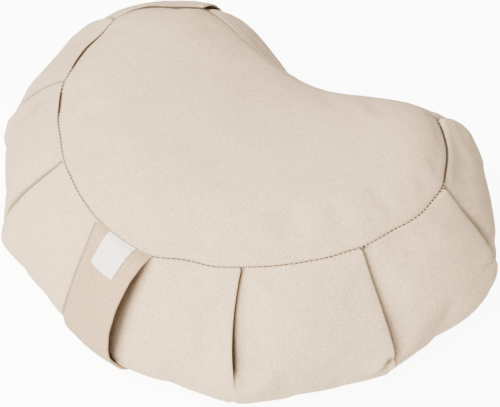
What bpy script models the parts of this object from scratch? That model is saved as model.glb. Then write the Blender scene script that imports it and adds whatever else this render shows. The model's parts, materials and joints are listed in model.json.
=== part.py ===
"""Crescent zafu: a filled floor cushion with a pleated side band and a carry strap.

Metres, +Z up. The cushion stands on Z = 0. Its length runs along X, the rounded front
faces -Y and the hollow back faces +Y. Places along the seam are measured from the middle
of the front, positive towards +X, negative towards -X.
"""
from collections import namedtuple

import bmesh
import bpy
import numpy as np

MM = 0.001

# ---- driving sizes -------------------------------------------------------------------
SEAM_HEIGHT = 128 * MM          # top seam above the floor
BOTTOM_SEAM_HEIGHT = 8 * MM
WIDEST_HEIGHT = 53 * MM         # level at which the band swells furthest
CROWN_RISE = 25 * MM            # middle of the top panel above its seam
CROWN_POWER = 2.5               # how steeply the top panel leaves its seam
BACK_ROLL = 1.9                 # and how much more steeply over the hollow of the back
HOLLOW_PLACE = 480 * MM         # place on the seam where the back is most hollow
HOLLOW_SPREAD = 95 * MM
SHEET = 2.0 * MM                # canvas panel with its turned seam allowance
GAP = 0.3 * MM                  # between pieces that touch
BED_GAP = 0.45 * MM             # the same, straight up, under the slope of a panel
BED_RIM = 0.6 * MM              # further room under a panel's edge
SEAM_GROOVE = 0.5 * MM          # width of the groove that each seam makes
FLAT_START = 0.35               # share of the way in at which the bottom panel lies flat
POINT_SPACING = 14 * MM         # between ring points on a panel of the band
CENTRE = (3.3 * MM, -0.1 * MM)  # brings the middle of the finished outline to the origin

# ---- seam outline, the same for the top and the bottom panel (mm) --------------------
Corner = namedtuple("Corner", "x y")
SEAM_OUTLINE = (
    Corner(0, -127.5), Corner(28, -124), Corner(52, -113.5), Corner(85, -95.6),
    Corner(112, -73.5), Corner(137.5, -45.5), Corner(151, -24), Corner(161, 4),
    Corner(168.5, 34.5), Corner(168, 62), Corner(159, 86.5), Corner(145.5, 107.5),
    Corner(124, 126.5), Corner(100, 130), Corner(68, 117.5), Corner(36, 102),
    Corner(4, 99.5), Corner(-32, 106.5), Corner(-66, 117), Corner(-95, 125),
    Corner(-118, 126), Corner(-140, 113.5), Corner(-157, 95.5), Corner(-167, 70.5),
    Corner(-167.5, 45), Corner(-164.5, 15), Corner(-156.5, -12), Corner(-143, -37),
    Corner(-120, -65), Corner(-94, -88.5), Corner(-64, -108), Corner(-31, -121.6),
)

# Middle line of the crown, from the left horn to the right one (mm).
CROWN_LINE = (
    Corner(-108, 64), Corner(-84, 28), Corner(-46, -5), Corner(0, -17),
    Corner(46, -5), Corner(84, 28), Corner(108, 64),
)
HORN_TIP = 340 * MM             # place on the seam that faces an end of that line

# ---- the band --------------------------------------------------------------------------
# along: place on the seam. reach: how far the band swells out past the seam. puff: 0 for
# cloth pulled straight down the slope, 1 for cloth that swells from the seam at once.
# lean: how far the fold drifts along the seam by the widest level. bow: how far it
# curves aside on the way there. All mm but puff.
Pleat = namedtuple("Pleat", "name along lean bow reach puff")
PLEATS = (
    Pleat("left_4", -367, 2, 0, 57, 0.80),
    Pleat("left_3", -285, -4, 0, 66, 0.68),
    Pleat("left_2", -197, -4, -13, 62, 0.05),
    Pleat("left_1", -103, -10, -3, 61, 0.08),
    Pleat("right_1", 92.5, -1, -4.5, 67, 0.08),
    Pleat("right_2", 186, 0, 0, 61, 0.10),
    Pleat("right_3", 279, 0, 0, 56, 0.22),
    Pleat("right_4", 355.5, 2, 0, 45, 1.15),
)

Swell = namedtuple("Swell", "along reach puff")
SWELLS = (
    Swell(-446, 46, 0.22), Swell(-405, 51, 0.58), Swell(-326, 60, 0.73),
    Swell(-241, 67, 0.22), Swell(-150, 54, 0.45), Swell(-55, 46, 0.30),
    Swell(-5, 46, 0.30), Swell(44, 52, 0.50), Swell(139, 60, 0.50),
    Swell(232, 55, 0.50), Swell(262, 59, 0.40), Swell(317, 47, 0.45),
    Swell(400, 42, 0.02), Swell(445, 50, 0.50), Swell(493, 52, 0.20),
)

# Handles of the curve that the band follows down from the top seam, as shares of its
# reach and its drop: for cloth pulled straight, and for cloth that swells.
Handle = namedtuple("Handle", "straight swollen")
FIRST_OUT = Handle(0.33, 0.45)
FIRST_DOWN = Handle(0.33, 0.02)
SECOND_OUT = Handle(0.78, 1.00)
SECOND_UP = Handle(0.28, 0.50)
BELLY_DROP = 0.6                # how round the band turns in below its widest level
BELLY_TUCK = 0.55               # and how flat it runs in to the bottom seam

# A knife pleat across its fold, from the covering panel to the covered one. rest: place
# along the ring where the pleat is closed. out: the same where it is folded. tuck, proud,
# flap, mouth: how many times that size each point moves.
FoldPoint = namedtuple("FoldPoint", "rest out tuck proud flap mouth")
FOLD = (
    FoldPoint(-16.0, -16.0, 0, 0.35, 0.0, 0.0),
    FoldPoint(-7.0, -7.0, 0, 0.80, 0.0, 0.0),
    FoldPoint(-1.5, -1.5, 0, 1.00, 0.0, 0.0),
    FoldPoint(-0.6, 0.4, 0, 1.00, 0.25, 0.0),
    FoldPoint(-0.2, 0.3, 0, 1.00, 0.85, 0.0),
    FoldPoint(0.2, 0.0, 1, 1.00, 1.0, 0.2),
    FoldPoint(0.6, 0.0, 1, 1.00, 1.0, 0.7),
    FoldPoint(1.0, 1.0, 0, 1.00, 1.0, 1.0),
    FoldPoint(6.0, 6.0, 0, 0.50, 0.5, 0.5),
    FoldPoint(15.0, 15.0, 0, 0.00, 0.0, 0.0),
)
PLAIN_FOLD_POINTS = (0, 1, 2, 7, 8, 9)      # those that a flat panel keeps
FLAP = 2.4 * MM                             # two layers of canvas

# How a pleat runs down the band. level: 0 top seam, 1 widest, 2 bottom seam. open: share
# of the fold that stands. tuck, mouth, proud: mm.
Run = namedtuple("Run", "level open tuck mouth proud")
PLEAT_RUN = (
    Run(0.00, 0.0, 6, 0.8, 1.0), Run(0.10, 1.0, 8, 0.9, 1.4), Run(0.45, 1.0, 9, 1.6, 1.8),
    Run(0.78, 1.0, 8, 3.4, 2.4), Run(0.90, 0.6, 5, 3.0, 2.0), Run(1.00, 0.0, 3, 1.5, 1.2),
    Run(1.25, 0.0, 3, 0.8, 1.0), Run(1.45, 0.8, 6, 1.0, 1.2), Run(1.88, 0.8, 6, 0.8, 1.0),
    Run(2.00, 0.0, 6, 0.8, 1.0),
)
BAND_LEVELS = (0.0, 0.05, 0.12, 0.22, 0.35, 0.48, 0.62, 0.76, 0.88, 1.0,
               1.12, 1.25, 1.4, 1.6, 1.8, 1.93, 2.0)

# Shares of the way from the seam to the crown line at which the panels have a ring.
CROWN_RINGS = (0.06, 0.16, 0.32, 0.52, 0.8)
BOTTOM_RINGS = (0.06, 0.16, 0.35, 0.8)

# ---- the carry strap -------------------------------------------------------------------
STRAP_MIDDLE = -3 * MM          # place of its centre line along the seam
STRAP_DRIFT = -2 * MM           # how far that line leans to the left by the widest level
STRAP_WIDTH = 55 * MM
STRAP_THICKNESS = 2.4 * MM
# level: down the band, as above. left, right: how far each edge stands off it (mm).
StandOff = namedtuple("StandOff", "level left right")
STRAP_RUN = (
    StandOff(0.03, 0.8, 1.0), StandOff(0.12, 1.0, 7.0), StandOff(0.28, 1.2, 13.0),
    StandOff(0.50, 1.4, 15.5), StandOff(0.72, 1.2, 14.0), StandOff(0.90, 1.0, 9.5),
    StandOff(1.05, 0.8, 4.0), StandOff(1.18, 0.8, 1.2), StandOff(1.40, 0.8, 0.8),
    StandOff(1.92, 0.8, 0.8),
)
STRAP_ACROSS = 6
STRAP_ALONG = 30

# The label's place on the strap: shares across it and levels down the band.
LABEL_ACROSS = (0.26, 0.75)
LABEL_LEVELS = (0.05, 0.38)
LABEL_THICKNESS = 0.6 * MM
LABEL_CELLS = (3, 6)            # faces across and along
LABEL_LIFT = 0.6 * MM           # clear of the strap, whose face is curved

CANVAS = (0.745, 0.665, 0.575)
STRAP_CANVAS = (0.715, 0.630, 0.535)
LABEL_WHITE = (0.90, 0.90, 0.89)
CLOTH_ROUGHNESS = 0.9


# ---- curves ----------------------------------------------------------------------------
def smooth_points(corners, closed, steps=24):
    """Dense points of a Catmull-Rom curve through the corners, in metres."""
    points = np.array(corners, float) * MM
    if closed:
        points = np.vstack([points[-1:], points, points[:2]])
    else:
        first = 2 * points[:1] - points[1:2]
        last = 2 * points[-1:] - points[-2:-1]
        points = np.vstack([first, points, last])
    t = np.linspace(0, 1, steps, endpoint=False)[:, None]
    pieces = []
    for p0, p1, p2, p3 in zip(points, points[1:], points[2:], points[3:]):
        bend = 2 * p0 - 5 * p1 + 4 * p2 - p3
        twist = 3 * p1 - p0 - 3 * p2 + p3
        pieces.append(0.5 * (2 * p1 + (p2 - p0) * t + bend * t ** 2 + twist * t ** 3))
    pieces.append(points[-2:-1])
    return np.vstack(pieces)


def running_length(points):
    """Length from the first point to each one."""
    steps = np.linalg.norm(np.diff(points, axis=0), axis=1)
    return np.concatenate([[0.0], np.cumsum(steps)])


SEAM = smooth_points(SEAM_OUTLINE, closed=True)
SEAM_AT = running_length(SEAM)
SEAM_LENGTH = SEAM_AT[-1]
CROWN = smooth_points(CROWN_LINE, closed=False)
CROWN_AT = running_length(CROWN)


def seam_point(along):
    """Plan position on the seam."""
    along = np.mod(along, SEAM_LENGTH)
    x = np.interp(along, SEAM_AT, SEAM[:, 0])
    y = np.interp(along, SEAM_AT, SEAM[:, 1])
    return np.stack([x, y], axis=-1)


def seam_outward(along, window=12 * MM):
    """Plan direction that points away from the cushion at the seam."""
    tangent = seam_point(along + window) - seam_point(along - window)
    tangent /= np.linalg.norm(tangent, axis=-1, keepdims=True)
    return np.stack([tangent[..., 1], -tangent[..., 0]], axis=-1)


def hollow_share(along):
    """1 in the middle of the back's hollow, fading to 0 away from it."""
    offset = np.mod(along - HOLLOW_PLACE + SEAM_LENGTH / 2, SEAM_LENGTH) - SEAM_LENGTH / 2
    return np.exp(-(offset / HOLLOW_SPREAD) ** 2)


# ---- the band's form -------------------------------------------------------------------
def band_stations():
    """Rows of along, reach, puff and whether a pleat stands there, in seam order."""
    rows = [(p.along * MM, p.reach * MM, p.puff, True) for p in PLEATS]
    rows += [(s.along * MM, s.reach * MM, s.puff, False) for s in SWELLS]
    rows.sort()
    first = rows[0]
    rows.append((first[0] + SEAM_LENGTH,) + first[1:])
    return rows


def station_slopes(at, values, corner):
    """Slopes after and before each station: smooth on a panel, broken at a pleat."""
    rise = np.diff(values) / np.diff(at)
    smooth = 0.5 * (rise + np.roll(rise, 1))
    smooth = np.append(smooth, smooth[0])
    after = smooth[:-1].copy()
    before = smooth[1:].copy()
    for i, secant in enumerate(rise):
        if corner[i]:
            after[i] = 2 * secant - smooth[i + 1]
        if corner[i + 1]:
            before[i] = 2 * secant - smooth[i]
    return after, before


STATIONS = band_stations()
STATION_AT = np.array([row[0] for row in STATIONS])
STATION_CORNER = [row[3] for row in STATIONS]


def along_band(along, values):
    """Reads a column of the stations anywhere on the seam."""
    after, before = station_slopes(STATION_AT, values, STATION_CORNER)
    place = np.mod(along - STATION_AT[0], SEAM_LENGTH) + STATION_AT[0]
    i = np.clip(np.searchsorted(STATION_AT, place, side="right") - 1, 0, len(after) - 1)
    span = STATION_AT[i + 1] - STATION_AT[i]
    t = (place - STATION_AT[i]) / span
    start = (1 + 2 * t) * (1 - t) ** 2 * values[i] + t * (1 - t) ** 2 * span * after[i]
    end = t ** 2 * (3 - 2 * t) * values[i + 1] - t ** 2 * (1 - t) * span * before[i]
    return start + end


REACHES = np.array([row[1] for row in STATIONS])
PUFFS = np.array([row[2] for row in STATIONS])


def bezier(t, p0, p1, p2, p3):
    """Point of a cubic curve."""
    s = 1 - t
    return s ** 3 * p0 + 3 * s * s * t * p1 + 3 * s * t * t * p2 + t ** 3 * p3


def blend(handle, puff):
    """A handle's value for a puff between straight and swollen."""
    return handle.straight + (handle.swollen - handle.straight) * puff


def upper_section(t, reach, puff):
    """Reach and height from the top seam (t = 0) down to the widest level (t = 1)."""
    drop = SEAM_HEIGHT - WIDEST_HEIGHT
    out = bezier(t, 0, reach * blend(FIRST_OUT, puff), reach * blend(SECOND_OUT, puff), reach)
    height = bezier(t, SEAM_HEIGHT, SEAM_HEIGHT - drop * blend(FIRST_DOWN, puff),
                    WIDEST_HEIGHT + drop * blend(SECOND_UP, puff), WIDEST_HEIGHT)
    return out, height


def lower_section(t, reach):
    """Reach and height from the widest level (t = 0) in to the bottom seam (t = 1)."""
    drop = WIDEST_HEIGHT - BOTTOM_SEAM_HEIGHT
    out = bezier(t, reach, reach, reach * BELLY_TUCK, 0)
    height = bezier(t, WIDEST_HEIGHT, WIDEST_HEIGHT - BELLY_DROP * drop,
                    BOTTOM_SEAM_HEIGHT, BOTTOM_SEAM_HEIGHT)
    return out, height


def band_point(along, level):
    """Point of the band's unfolded skin."""
    along = np.asarray(along, float)
    level = np.broadcast_to(level, along.shape)
    reach = along_band(along, REACHES)
    puff = along_band(along, PUFFS)
    out_up, height_up = upper_section(np.clip(level, 0, 1), reach, puff)
    out_low, height_low = lower_section(np.clip(level - 1, 0, 1), reach)
    out = np.where(level <= 1, out_up, out_low)
    height = np.where(level <= 1, height_up, height_low)
    plan = seam_point(along) + seam_outward(along) * out[..., None]
    return np.concatenate([plan, height[..., None]], axis=-1)


def band_normal(along, level, step=2 * MM, level_step=0.03):
    """Direction square to the band's skin, facing out."""
    across = band_point(along + step, level) - band_point(along - step, level)
    low = np.clip(level + level_step, 0, 2)
    high = np.clip(level - level_step, 0, 2)
    down = band_point(along, low) - band_point(along, high)
    normal = np.cross(down, across)
    return normal / np.linalg.norm(normal, axis=-1, keepdims=True)


# ---- rings round the band --------------------------------------------------------------
def pleat_run(level):
    """Open share, tuck, mouth and proud of a pleat at a level."""
    at = [row.level for row in PLEAT_RUN]
    columns = (("open", 1), ("tuck", MM), ("mouth", MM), ("proud", MM))
    return [np.interp(level, at, [getattr(row, name) for row in PLEAT_RUN]) * unit
            for name, unit in columns]


def pleat_centre(pleat, level):
    """Place on the seam where the fold's edge lies at a level."""
    drift = level if level <= 1 else 2 - level
    return (pleat.along + pleat.lean * drift + 4 * pleat.bow * drift * (1 - drift)) * MM


def fold_points(pleat, level):
    """Places along the ring and lifts of one pleat's points, in seam order."""
    is_open, tuck, mouth, proud = pleat_run(level)
    side = 1 if pleat.along > 0 else -1
    points = []
    for row in FOLD:
        folded = row.out * MM - row.tuck * tuck
        place = row.rest * MM * (1 - is_open) + folded * is_open
        lift = is_open * (row.proud * proud - row.flap * FLAP - row.mouth * mouth)
        points.append((pleat_centre(pleat, level) + side * place, lift))
    return points if side > 0 else points[::-1]


def panel_points(start, end, count):
    """Places between two pleats, with no lift."""
    inner = np.linspace(start, end, count + 2)[1:-1]
    return [(place, 0.0) for place in inner]


def panel_counts():
    """How many ring points each panel of the band has, the same at every level."""
    width = (FOLD[-1].rest - FOLD[0].rest) * MM
    starts = [pleat.along * MM for pleat in PLEATS]
    ends = starts[1:] + [starts[0] + SEAM_LENGTH]
    return [round((end - start - width) / POINT_SPACING) for start, end in zip(starts, ends)]


def ring_layout(level):
    """Places and lifts of all points of the ring at a level."""
    folds = [fold_points(pleat, level) for pleat in PLEATS]
    first_place = folds[0][0][0] + SEAM_LENGTH
    layout = []
    for i, count in enumerate(panel_counts()):
        layout += folds[i]
        following = folds[i + 1][0][0] if i + 1 < len(folds) else first_place
        layout += panel_points(folds[i][-1][0], following, count)
    return np.array(layout).T


def band_ring(level):
    """Points of the ring at a level, folds and all."""
    along, lift = ring_layout(level)
    return band_point(along, level) + band_normal(along, level) * lift[:, None]


def plain_mask():
    """Which of a ring's points a flat panel keeps."""
    keep = []
    for pleat, count in zip(PLEATS, panel_counts()):
        fold = [i in PLAIN_FOLD_POINTS for i in range(len(FOLD))]
        keep += fold if pleat.along > 0 else fold[::-1]
        keep += [True] * count
    return np.array(keep)


# ---- rings of the top and bottom panels ------------------------------------------------
def crown_line_point(along):
    """Point of the crown's middle line that a place on the seam faces."""
    place = np.mod(along + SEAM_LENGTH / 2, SEAM_LENGTH) - SEAM_LENGTH / 2
    side = np.sign(place)
    from_front = np.abs(place)
    back = SEAM_LENGTH / 2 - HORN_TIP
    on_front = np.sin(np.pi / 2 * np.minimum(from_front / HORN_TIP, 1))
    on_back = np.cos(np.pi / 2 * np.maximum(from_front - HORN_TIP, 0) / back)
    offset = side * np.where(from_front < HORN_TIP, on_front, on_back)
    target = CROWN_AT[-1] * (0.5 + 0.5 * offset)
    x = np.interp(target, CROWN_AT, CROWN[:, 0])
    y = np.interp(target, CROWN_AT, CROWN[:, 1])
    return np.stack([x, y], axis=-1)


def inward_plan(along, share):
    """Plan position a share of the way from the seam to the crown's middle line."""
    start = seam_point(along)
    return start + (crown_line_point(along) - start) * share


def rim_plan(along, inset):
    """Plan position a short way inside the seam."""
    return seam_point(along) - seam_outward(along) * inset


def crown_height(along, share):
    """Height of the top panel's face."""
    power = CROWN_POWER + BACK_ROLL * hollow_share(along)
    return SEAM_HEIGHT + CROWN_RISE * (1 - (1 - share) ** power)


def sole_height(along, share):
    """Height of the bottom panel's face: a turned-up rim round a flat middle."""
    climb = max(0.0, 1 - share / FLAT_START)
    return np.full(len(along), BOTTOM_SEAM_HEIGHT * climb ** 2)


def flat_ring(plan, height):
    """3D points from plan positions and heights."""
    return np.column_stack([plan, height])


def panel_rings(along, shares, height, drop, inset, rim_drop):
    """Rings of one face of a panel, from the rim inward, lowered by drop."""
    rings = [flat_ring(rim_plan(along, inset), height(along, 0.0) - rim_drop)]
    for share in shares:
        rings.append(flat_ring(inward_plan(along, share), height(along, share) - drop))
    return rings


# ---- meshes ----------------------------------------------------------------------------
def loft(rings, name):
    """Closed mesh through rings of equal count, capped at both ends."""
    mesh = bmesh.new()
    loops = [[mesh.verts.new(point) for point in ring] for ring in rings]
    for upper, lower in zip(loops, loops[1:]):
        for i in range(len(upper)):
            mesh.faces.new((upper[i - 1], lower[i - 1], lower[i], upper[i]))
    mesh.faces.new(loops[0])
    mesh.faces.new(loops[-1][::-1])
    bmesh.ops.recalc_face_normals(mesh, faces=mesh.faces)
    data = bpy.data.meshes.new(name)
    mesh.to_mesh(data)
    mesh.free()
    return data


def patch(across, along, point_at, name):
    """Open mesh: a grid whose points follow point_at(share across, share along)."""
    mesh = bmesh.new()
    bmesh.ops.create_grid(mesh, x_segments=across, y_segments=along, size=0.5)
    for vert in mesh.verts:
        vert.co = point_at(vert.co.x + 0.5, vert.co.y + 0.5)
    data = bpy.data.meshes.new(name)
    mesh.to_mesh(data)
    mesh.free()
    return data


def fabric(name, colour):
    """Matt cloth material."""
    material = bpy.data.materials.new(name)
    material.use_nodes = True
    shader = material.node_tree.nodes["Principled BSDF"]
    shader.inputs["Base Color"].default_value = (*colour, 1.0)
    shader.inputs["Roughness"].default_value = CLOTH_ROUGHNESS
    shader.inputs["Metallic"].default_value = 0.0
    return material


def place_object(name, data, colour, collection):
    """Puts a mesh in the collection as a named, smooth-shaded object."""
    data.materials.append(fabric(name + "_cloth", colour))
    data.shade_smooth()
    thing = bpy.data.objects.new(name, data)
    thing.location = (*CENTRE, 0.0)
    collection.objects.link(thing)
    return thing


# ---- the pieces ------------------------------------------------------------------------
def build_side_band(collection):
    """The filled body: pleated band, with a bed for each panel."""
    along = ring_layout(0.0)[0]
    bed = SHEET + BED_GAP
    rim = bed + BED_RIM
    top = panel_rings(along, CROWN_RINGS, crown_height, bed, SEAM_GROOVE, rim)
    sole = panel_rings(along, BOTTOM_RINGS, sole_height, -bed, SEAM_GROOVE, -rim)
    rings = top[::-1] + [band_ring(level) for level in BAND_LEVELS] + sole
    return place_object("side_band", loft(rings, "side_band"), CANVAS, collection)


def build_panel(name, shares, height, under, collection):
    """A sheet of canvas: outer face, then the face that lies on the filling."""
    along = ring_layout(0.0)[0][plain_mask()]
    inset = SEAM_GROOVE + GAP
    face = panel_rings(along, shares, height, 0.0, inset + GAP, 0.0)
    back = panel_rings(along, shares, height, under, inset, under)
    return place_object(name, loft(face[::-1] + back, name), CANVAS, collection)


def strap_stand_off(share, level):
    """Distance between the strap's inner face and the band."""
    at = [row.level for row in STRAP_RUN]
    left = np.interp(level, at, [row.left for row in STRAP_RUN])
    right = np.interp(level, at, [row.right for row in STRAP_RUN])
    return (left + (right - left) * share) * MM


def lifted_point(along, level, lift):
    """Point at a height above the band's skin."""
    along = np.array([along])
    return (band_point(along, level) + band_normal(along, level) * lift)[0]


def strap_edges(level):
    """Places on the seam of the strap's two edges, a constant width apart in space."""
    middle = STRAP_MIDDLE + STRAP_DRIFT * min(level, 1.0)
    half = STRAP_WIDTH / 2
    left = lifted_point(middle - half, level, strap_stand_off(0.0, level))
    right = lifted_point(middle + half, level, strap_stand_off(1.0, level))
    half *= STRAP_WIDTH / np.linalg.norm(right - left)
    return middle - half, middle + half


def strap_point(share, level, lift=0.0):
    """Point on the strap's inner face, lifted off it."""
    left, right = strap_edges(level)
    return lifted_point(left + (right - left) * share, level, strap_stand_off(share, level) + lift)


def add_thickness(thing, thickness):
    """Gives an open sheet its thickness, outward from the face it was drawn on."""
    solidify = thing.modifiers.new("Thickness", "SOLIDIFY")
    solidify.thickness = thickness
    solidify.offset = 1.0
    solidify.use_even_offset = True
    return thing


def build_carry_strap(collection):
    """Flat folded strap from the top seam over the front to the bottom seam."""
    first = STRAP_RUN[0].level
    last = STRAP_RUN[-1].level

    def point_at(across, along):
        return strap_point(across, last + (first - last) * along)

    data = patch(STRAP_ACROSS, STRAP_ALONG, point_at, "carry_handle")
    return add_thickness(place_object("carry_handle", data, STRAP_CANVAS, collection), STRAP_THICKNESS)


def build_label(collection):
    """Bare white patch sewn on the strap, near the top seam."""
    left, right = LABEL_ACROSS
    high, low = LABEL_LEVELS

    def point_at(across, along):
        share = left + (right - left) * across
        return strap_point(share, low + (high - low) * along, STRAP_THICKNESS + LABEL_LIFT)

    data = patch(*LABEL_CELLS, point_at, "label")
    return add_thickness(place_object("label", data, LABEL_WHITE, collection), LABEL_THICKNESS)


def clear_scene():
    """Removes whatever the scene starts with."""
    for thing in list(bpy.data.objects):
        bpy.data.objects.remove(thing)


def main():
    """Builds the cushion."""
    clear_scene()
    collection = bpy.data.collections.new("zafu_cushion")
    bpy.context.scene.collection.children.link(collection)
    build_side_band(collection)
    build_panel("top_panel", CROWN_RINGS, crown_height, SHEET, collection)
    build_panel("bottom_panel", BOTTOM_RINGS, sole_height, -SHEET, collection)
    build_carry_strap(collection)
    build_label(collection)


main()
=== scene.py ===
"""Looks of a crescent zafu: a filled floor cushion of natural canvas with a carry strap.

Metres, +Z up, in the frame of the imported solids. The form follows the same named sizes as
the solids do, and gets here the folds, seams, stitches and creases of sewn canvas. Places
along the seam are measured from the middle of the front, positive towards +X.
"""
from __future__ import annotations

import json
import logging
import math
from dataclasses import dataclass, field
from enum import Enum
from itertools import starmap
from typing import NamedTuple, Sequence

import bmesh
import bpy
import numpy as np
from mathutils import Matrix, Vector, noise
from mathutils.kdtree import KDTree

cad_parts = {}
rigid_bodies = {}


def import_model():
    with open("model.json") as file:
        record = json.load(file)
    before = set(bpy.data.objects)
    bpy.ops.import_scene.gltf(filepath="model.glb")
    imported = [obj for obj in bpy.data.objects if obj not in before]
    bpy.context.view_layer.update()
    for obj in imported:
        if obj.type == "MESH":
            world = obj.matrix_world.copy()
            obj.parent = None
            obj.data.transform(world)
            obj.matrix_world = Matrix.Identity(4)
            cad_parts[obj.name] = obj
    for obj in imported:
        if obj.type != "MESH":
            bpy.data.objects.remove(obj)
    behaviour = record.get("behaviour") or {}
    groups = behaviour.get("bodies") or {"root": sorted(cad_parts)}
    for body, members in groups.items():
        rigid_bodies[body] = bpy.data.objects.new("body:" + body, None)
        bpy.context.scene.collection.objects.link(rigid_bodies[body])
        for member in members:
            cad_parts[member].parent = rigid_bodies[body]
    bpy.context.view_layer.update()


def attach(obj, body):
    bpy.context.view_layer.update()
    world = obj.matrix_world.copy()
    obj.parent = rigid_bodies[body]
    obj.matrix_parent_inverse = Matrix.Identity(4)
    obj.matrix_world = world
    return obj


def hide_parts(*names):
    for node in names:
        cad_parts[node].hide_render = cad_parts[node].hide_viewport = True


MM = 0.001
BODY = "root"
SHADE = "shade"
UP = np.array([0.0, 0.0, 1.0])
log = logging.getLogger("zafu")

Colour = tuple[float, float, float]
Points = np.ndarray


class Slot(Enum):
    """Material slots of the record."""

    CANVAS = "canvas"
    STRAP = "strap_canvas"
    LABEL = "label_white"


class PlanPoint(NamedTuple):
    """A corner of a line seen from above, in mm."""

    x: float
    y: float


class Swell(NamedTuple):
    """Fullness of the band at a place on the seam: reach in mm, puff from 0 to 1."""

    along: float
    reach: float
    puff: float


class Pleat(NamedTuple):
    """A knife pleat. along, lean, bow and reach are in mm, as in the solids.

    proud is how far its edge stands up, dip how deep the covered panel runs under it, and
    spread how wide that panel is drawn down, all in mm at the fold's fullest. mouth is how
    much deeper it gapes at the top seam, in mm. cast is how far its painted shade reaches
    over the covered panel, as a share of the dip, and crisp how sharply that painted shade
    ends. A close below 1 ends the fold that much higher on the band.
    """

    name: str
    along: float
    lean: float
    bow: float
    reach: float
    puff: float
    proud: float
    dip: float
    spread: float
    mouth: float = 0.0
    cast: float = 0.48
    crisp: float = 1.0
    close: float = 1.0


class FoldRun(NamedTuple):
    """How a pleat runs down the band: its open share, its tuck in mm, and shares of its sizes."""

    level: float
    open: float
    tuck: float
    dip: float
    proud: float


class SeamPlace(NamedTuple):
    """The top seam at a place: waver outward, gap between its edges and lip of the band, mm."""

    along: float
    waver: float
    gap: float
    lip: float


class Crease(NamedTuple):
    """A soft trough or ridge from one place on the band to another.

    along, depth and width are in mm, and a ridge has a negative depth. Levels run from 0 at
    the top seam over 1 at the widest place to 2 at the bottom seam. shade is how dark the
    painted shade in its middle is, from 0 to 1.
    """

    along_from: float
    level_from: float
    along_to: float
    level_to: float
    depth: float
    width: float
    shade: float = 0.0


class StandOff(NamedTuple):
    """How far the strap's left and right edges stand off the band at a level, in mm."""

    level: float
    left: float
    right: float


SEAM_OUTLINE = tuple(starmap(PlanPoint, (
    (0, -127.5), (28, -124), (52, -113.5), (85, -95.6), (112, -73.5), (137.5, -45.5),
    (151, -24), (161, 4), (168.5, 34.5), (168, 62), (159, 86.5), (145.5, 107.5), (124, 126.5),
    (100, 130), (68, 117.5), (36, 102), (4, 99.5), (-32, 106.5), (-66, 117), (-95, 125),
    (-118, 126), (-140, 113.5), (-157, 95.5), (-167, 70.5), (-167.5, 45), (-164.5, 15),
    (-156.5, -12), (-143, -37), (-120, -65), (-94, -88.5), (-64, -108), (-31, -121.6),
)))
CROWN_LINE = tuple(starmap(PlanPoint, (
    (-108, 64), (-84, 28), (-46, -5), (0, -17), (46, -5), (84, 28), (108, 64),
)))
CENTRE = PlanPoint(3.3, -0.1)

PLEATS = (
    Pleat("left_4", -367, 2, 0, 57, 0.80, 2.0, 7.0, 17, 5.0, 0.22),
    Pleat("left_3", -285, -4, 0, 66, 0.68, 2.0, 4.0, 10, 0.0, 1.6, 4.0),
    Pleat("left_2", -197, -4, -13, 62, 0.05, 1.6, 4.0, 12, 0.0, 1.75, 4.0),
    Pleat("left_1", -103, -10, -3, 61, 0.08, 1.8, 4.0, 9, 0.0, 1.8, 4.0),
    Pleat("right_1", 92.5, -1, -4.5, 67, 0.08, 2.6, 9.5, 11, 0.0, 0.6, 1.0, 0.85),
    Pleat("right_2", 186, 0, 0, 61, 0.10, 5.0, 10.0, 20, 1.0, 0.55),
    Pleat("right_3", 279, 0, 0, 56, 0.22, 4.5, 8.0, 20, 0.0, 1.45, 5.0),
    Pleat("right_4", 355.5, 2, 0, 45, 1.15, 3.0, 7.0, 10, 0.0, 1.3, 4.0),
)
SWELLS = tuple(starmap(Swell, (
    (-446, 46, 0.22), (-405, 51, 0.58), (-326, 60, 0.73), (-241, 67, 0.22), (-150, 54, 0.45),
    (-55, 46, 0.30), (-5, 46, 0.30), (44, 52, 0.50), (139, 60, 0.50), (232, 55, 0.50),
    (262, 59, 0.40), (317, 47, 0.45), (400, 42, 0.02), (445, 50, 0.50), (493, 52, 0.20),
)))
FOLD_RUN = tuple(starmap(FoldRun, (
    (0.00, 0.0, 5, 0.50, 0.30), (0.04, 1.0, 6, 0.50, 0.35), (0.20, 1.0, 7, 0.50, 0.45),
    (0.45, 1.0, 8, 0.62, 0.60), (0.64, 1.0, 8, 0.85, 0.80), (0.82, 1.0, 8, 1.00, 1.00),
    (0.93, 1.0, 6, 0.75, 0.80), (1.02, 0.5, 4, 0.35, 0.50), (1.14, 0.0, 3, 0.15, 0.30),
    (1.45, 0.8, 5, 0.45, 0.40), (1.88, 0.8, 5, 0.45, 0.40), (2.00, 0.0, 5, 0.45, 0.40),
)))
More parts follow.
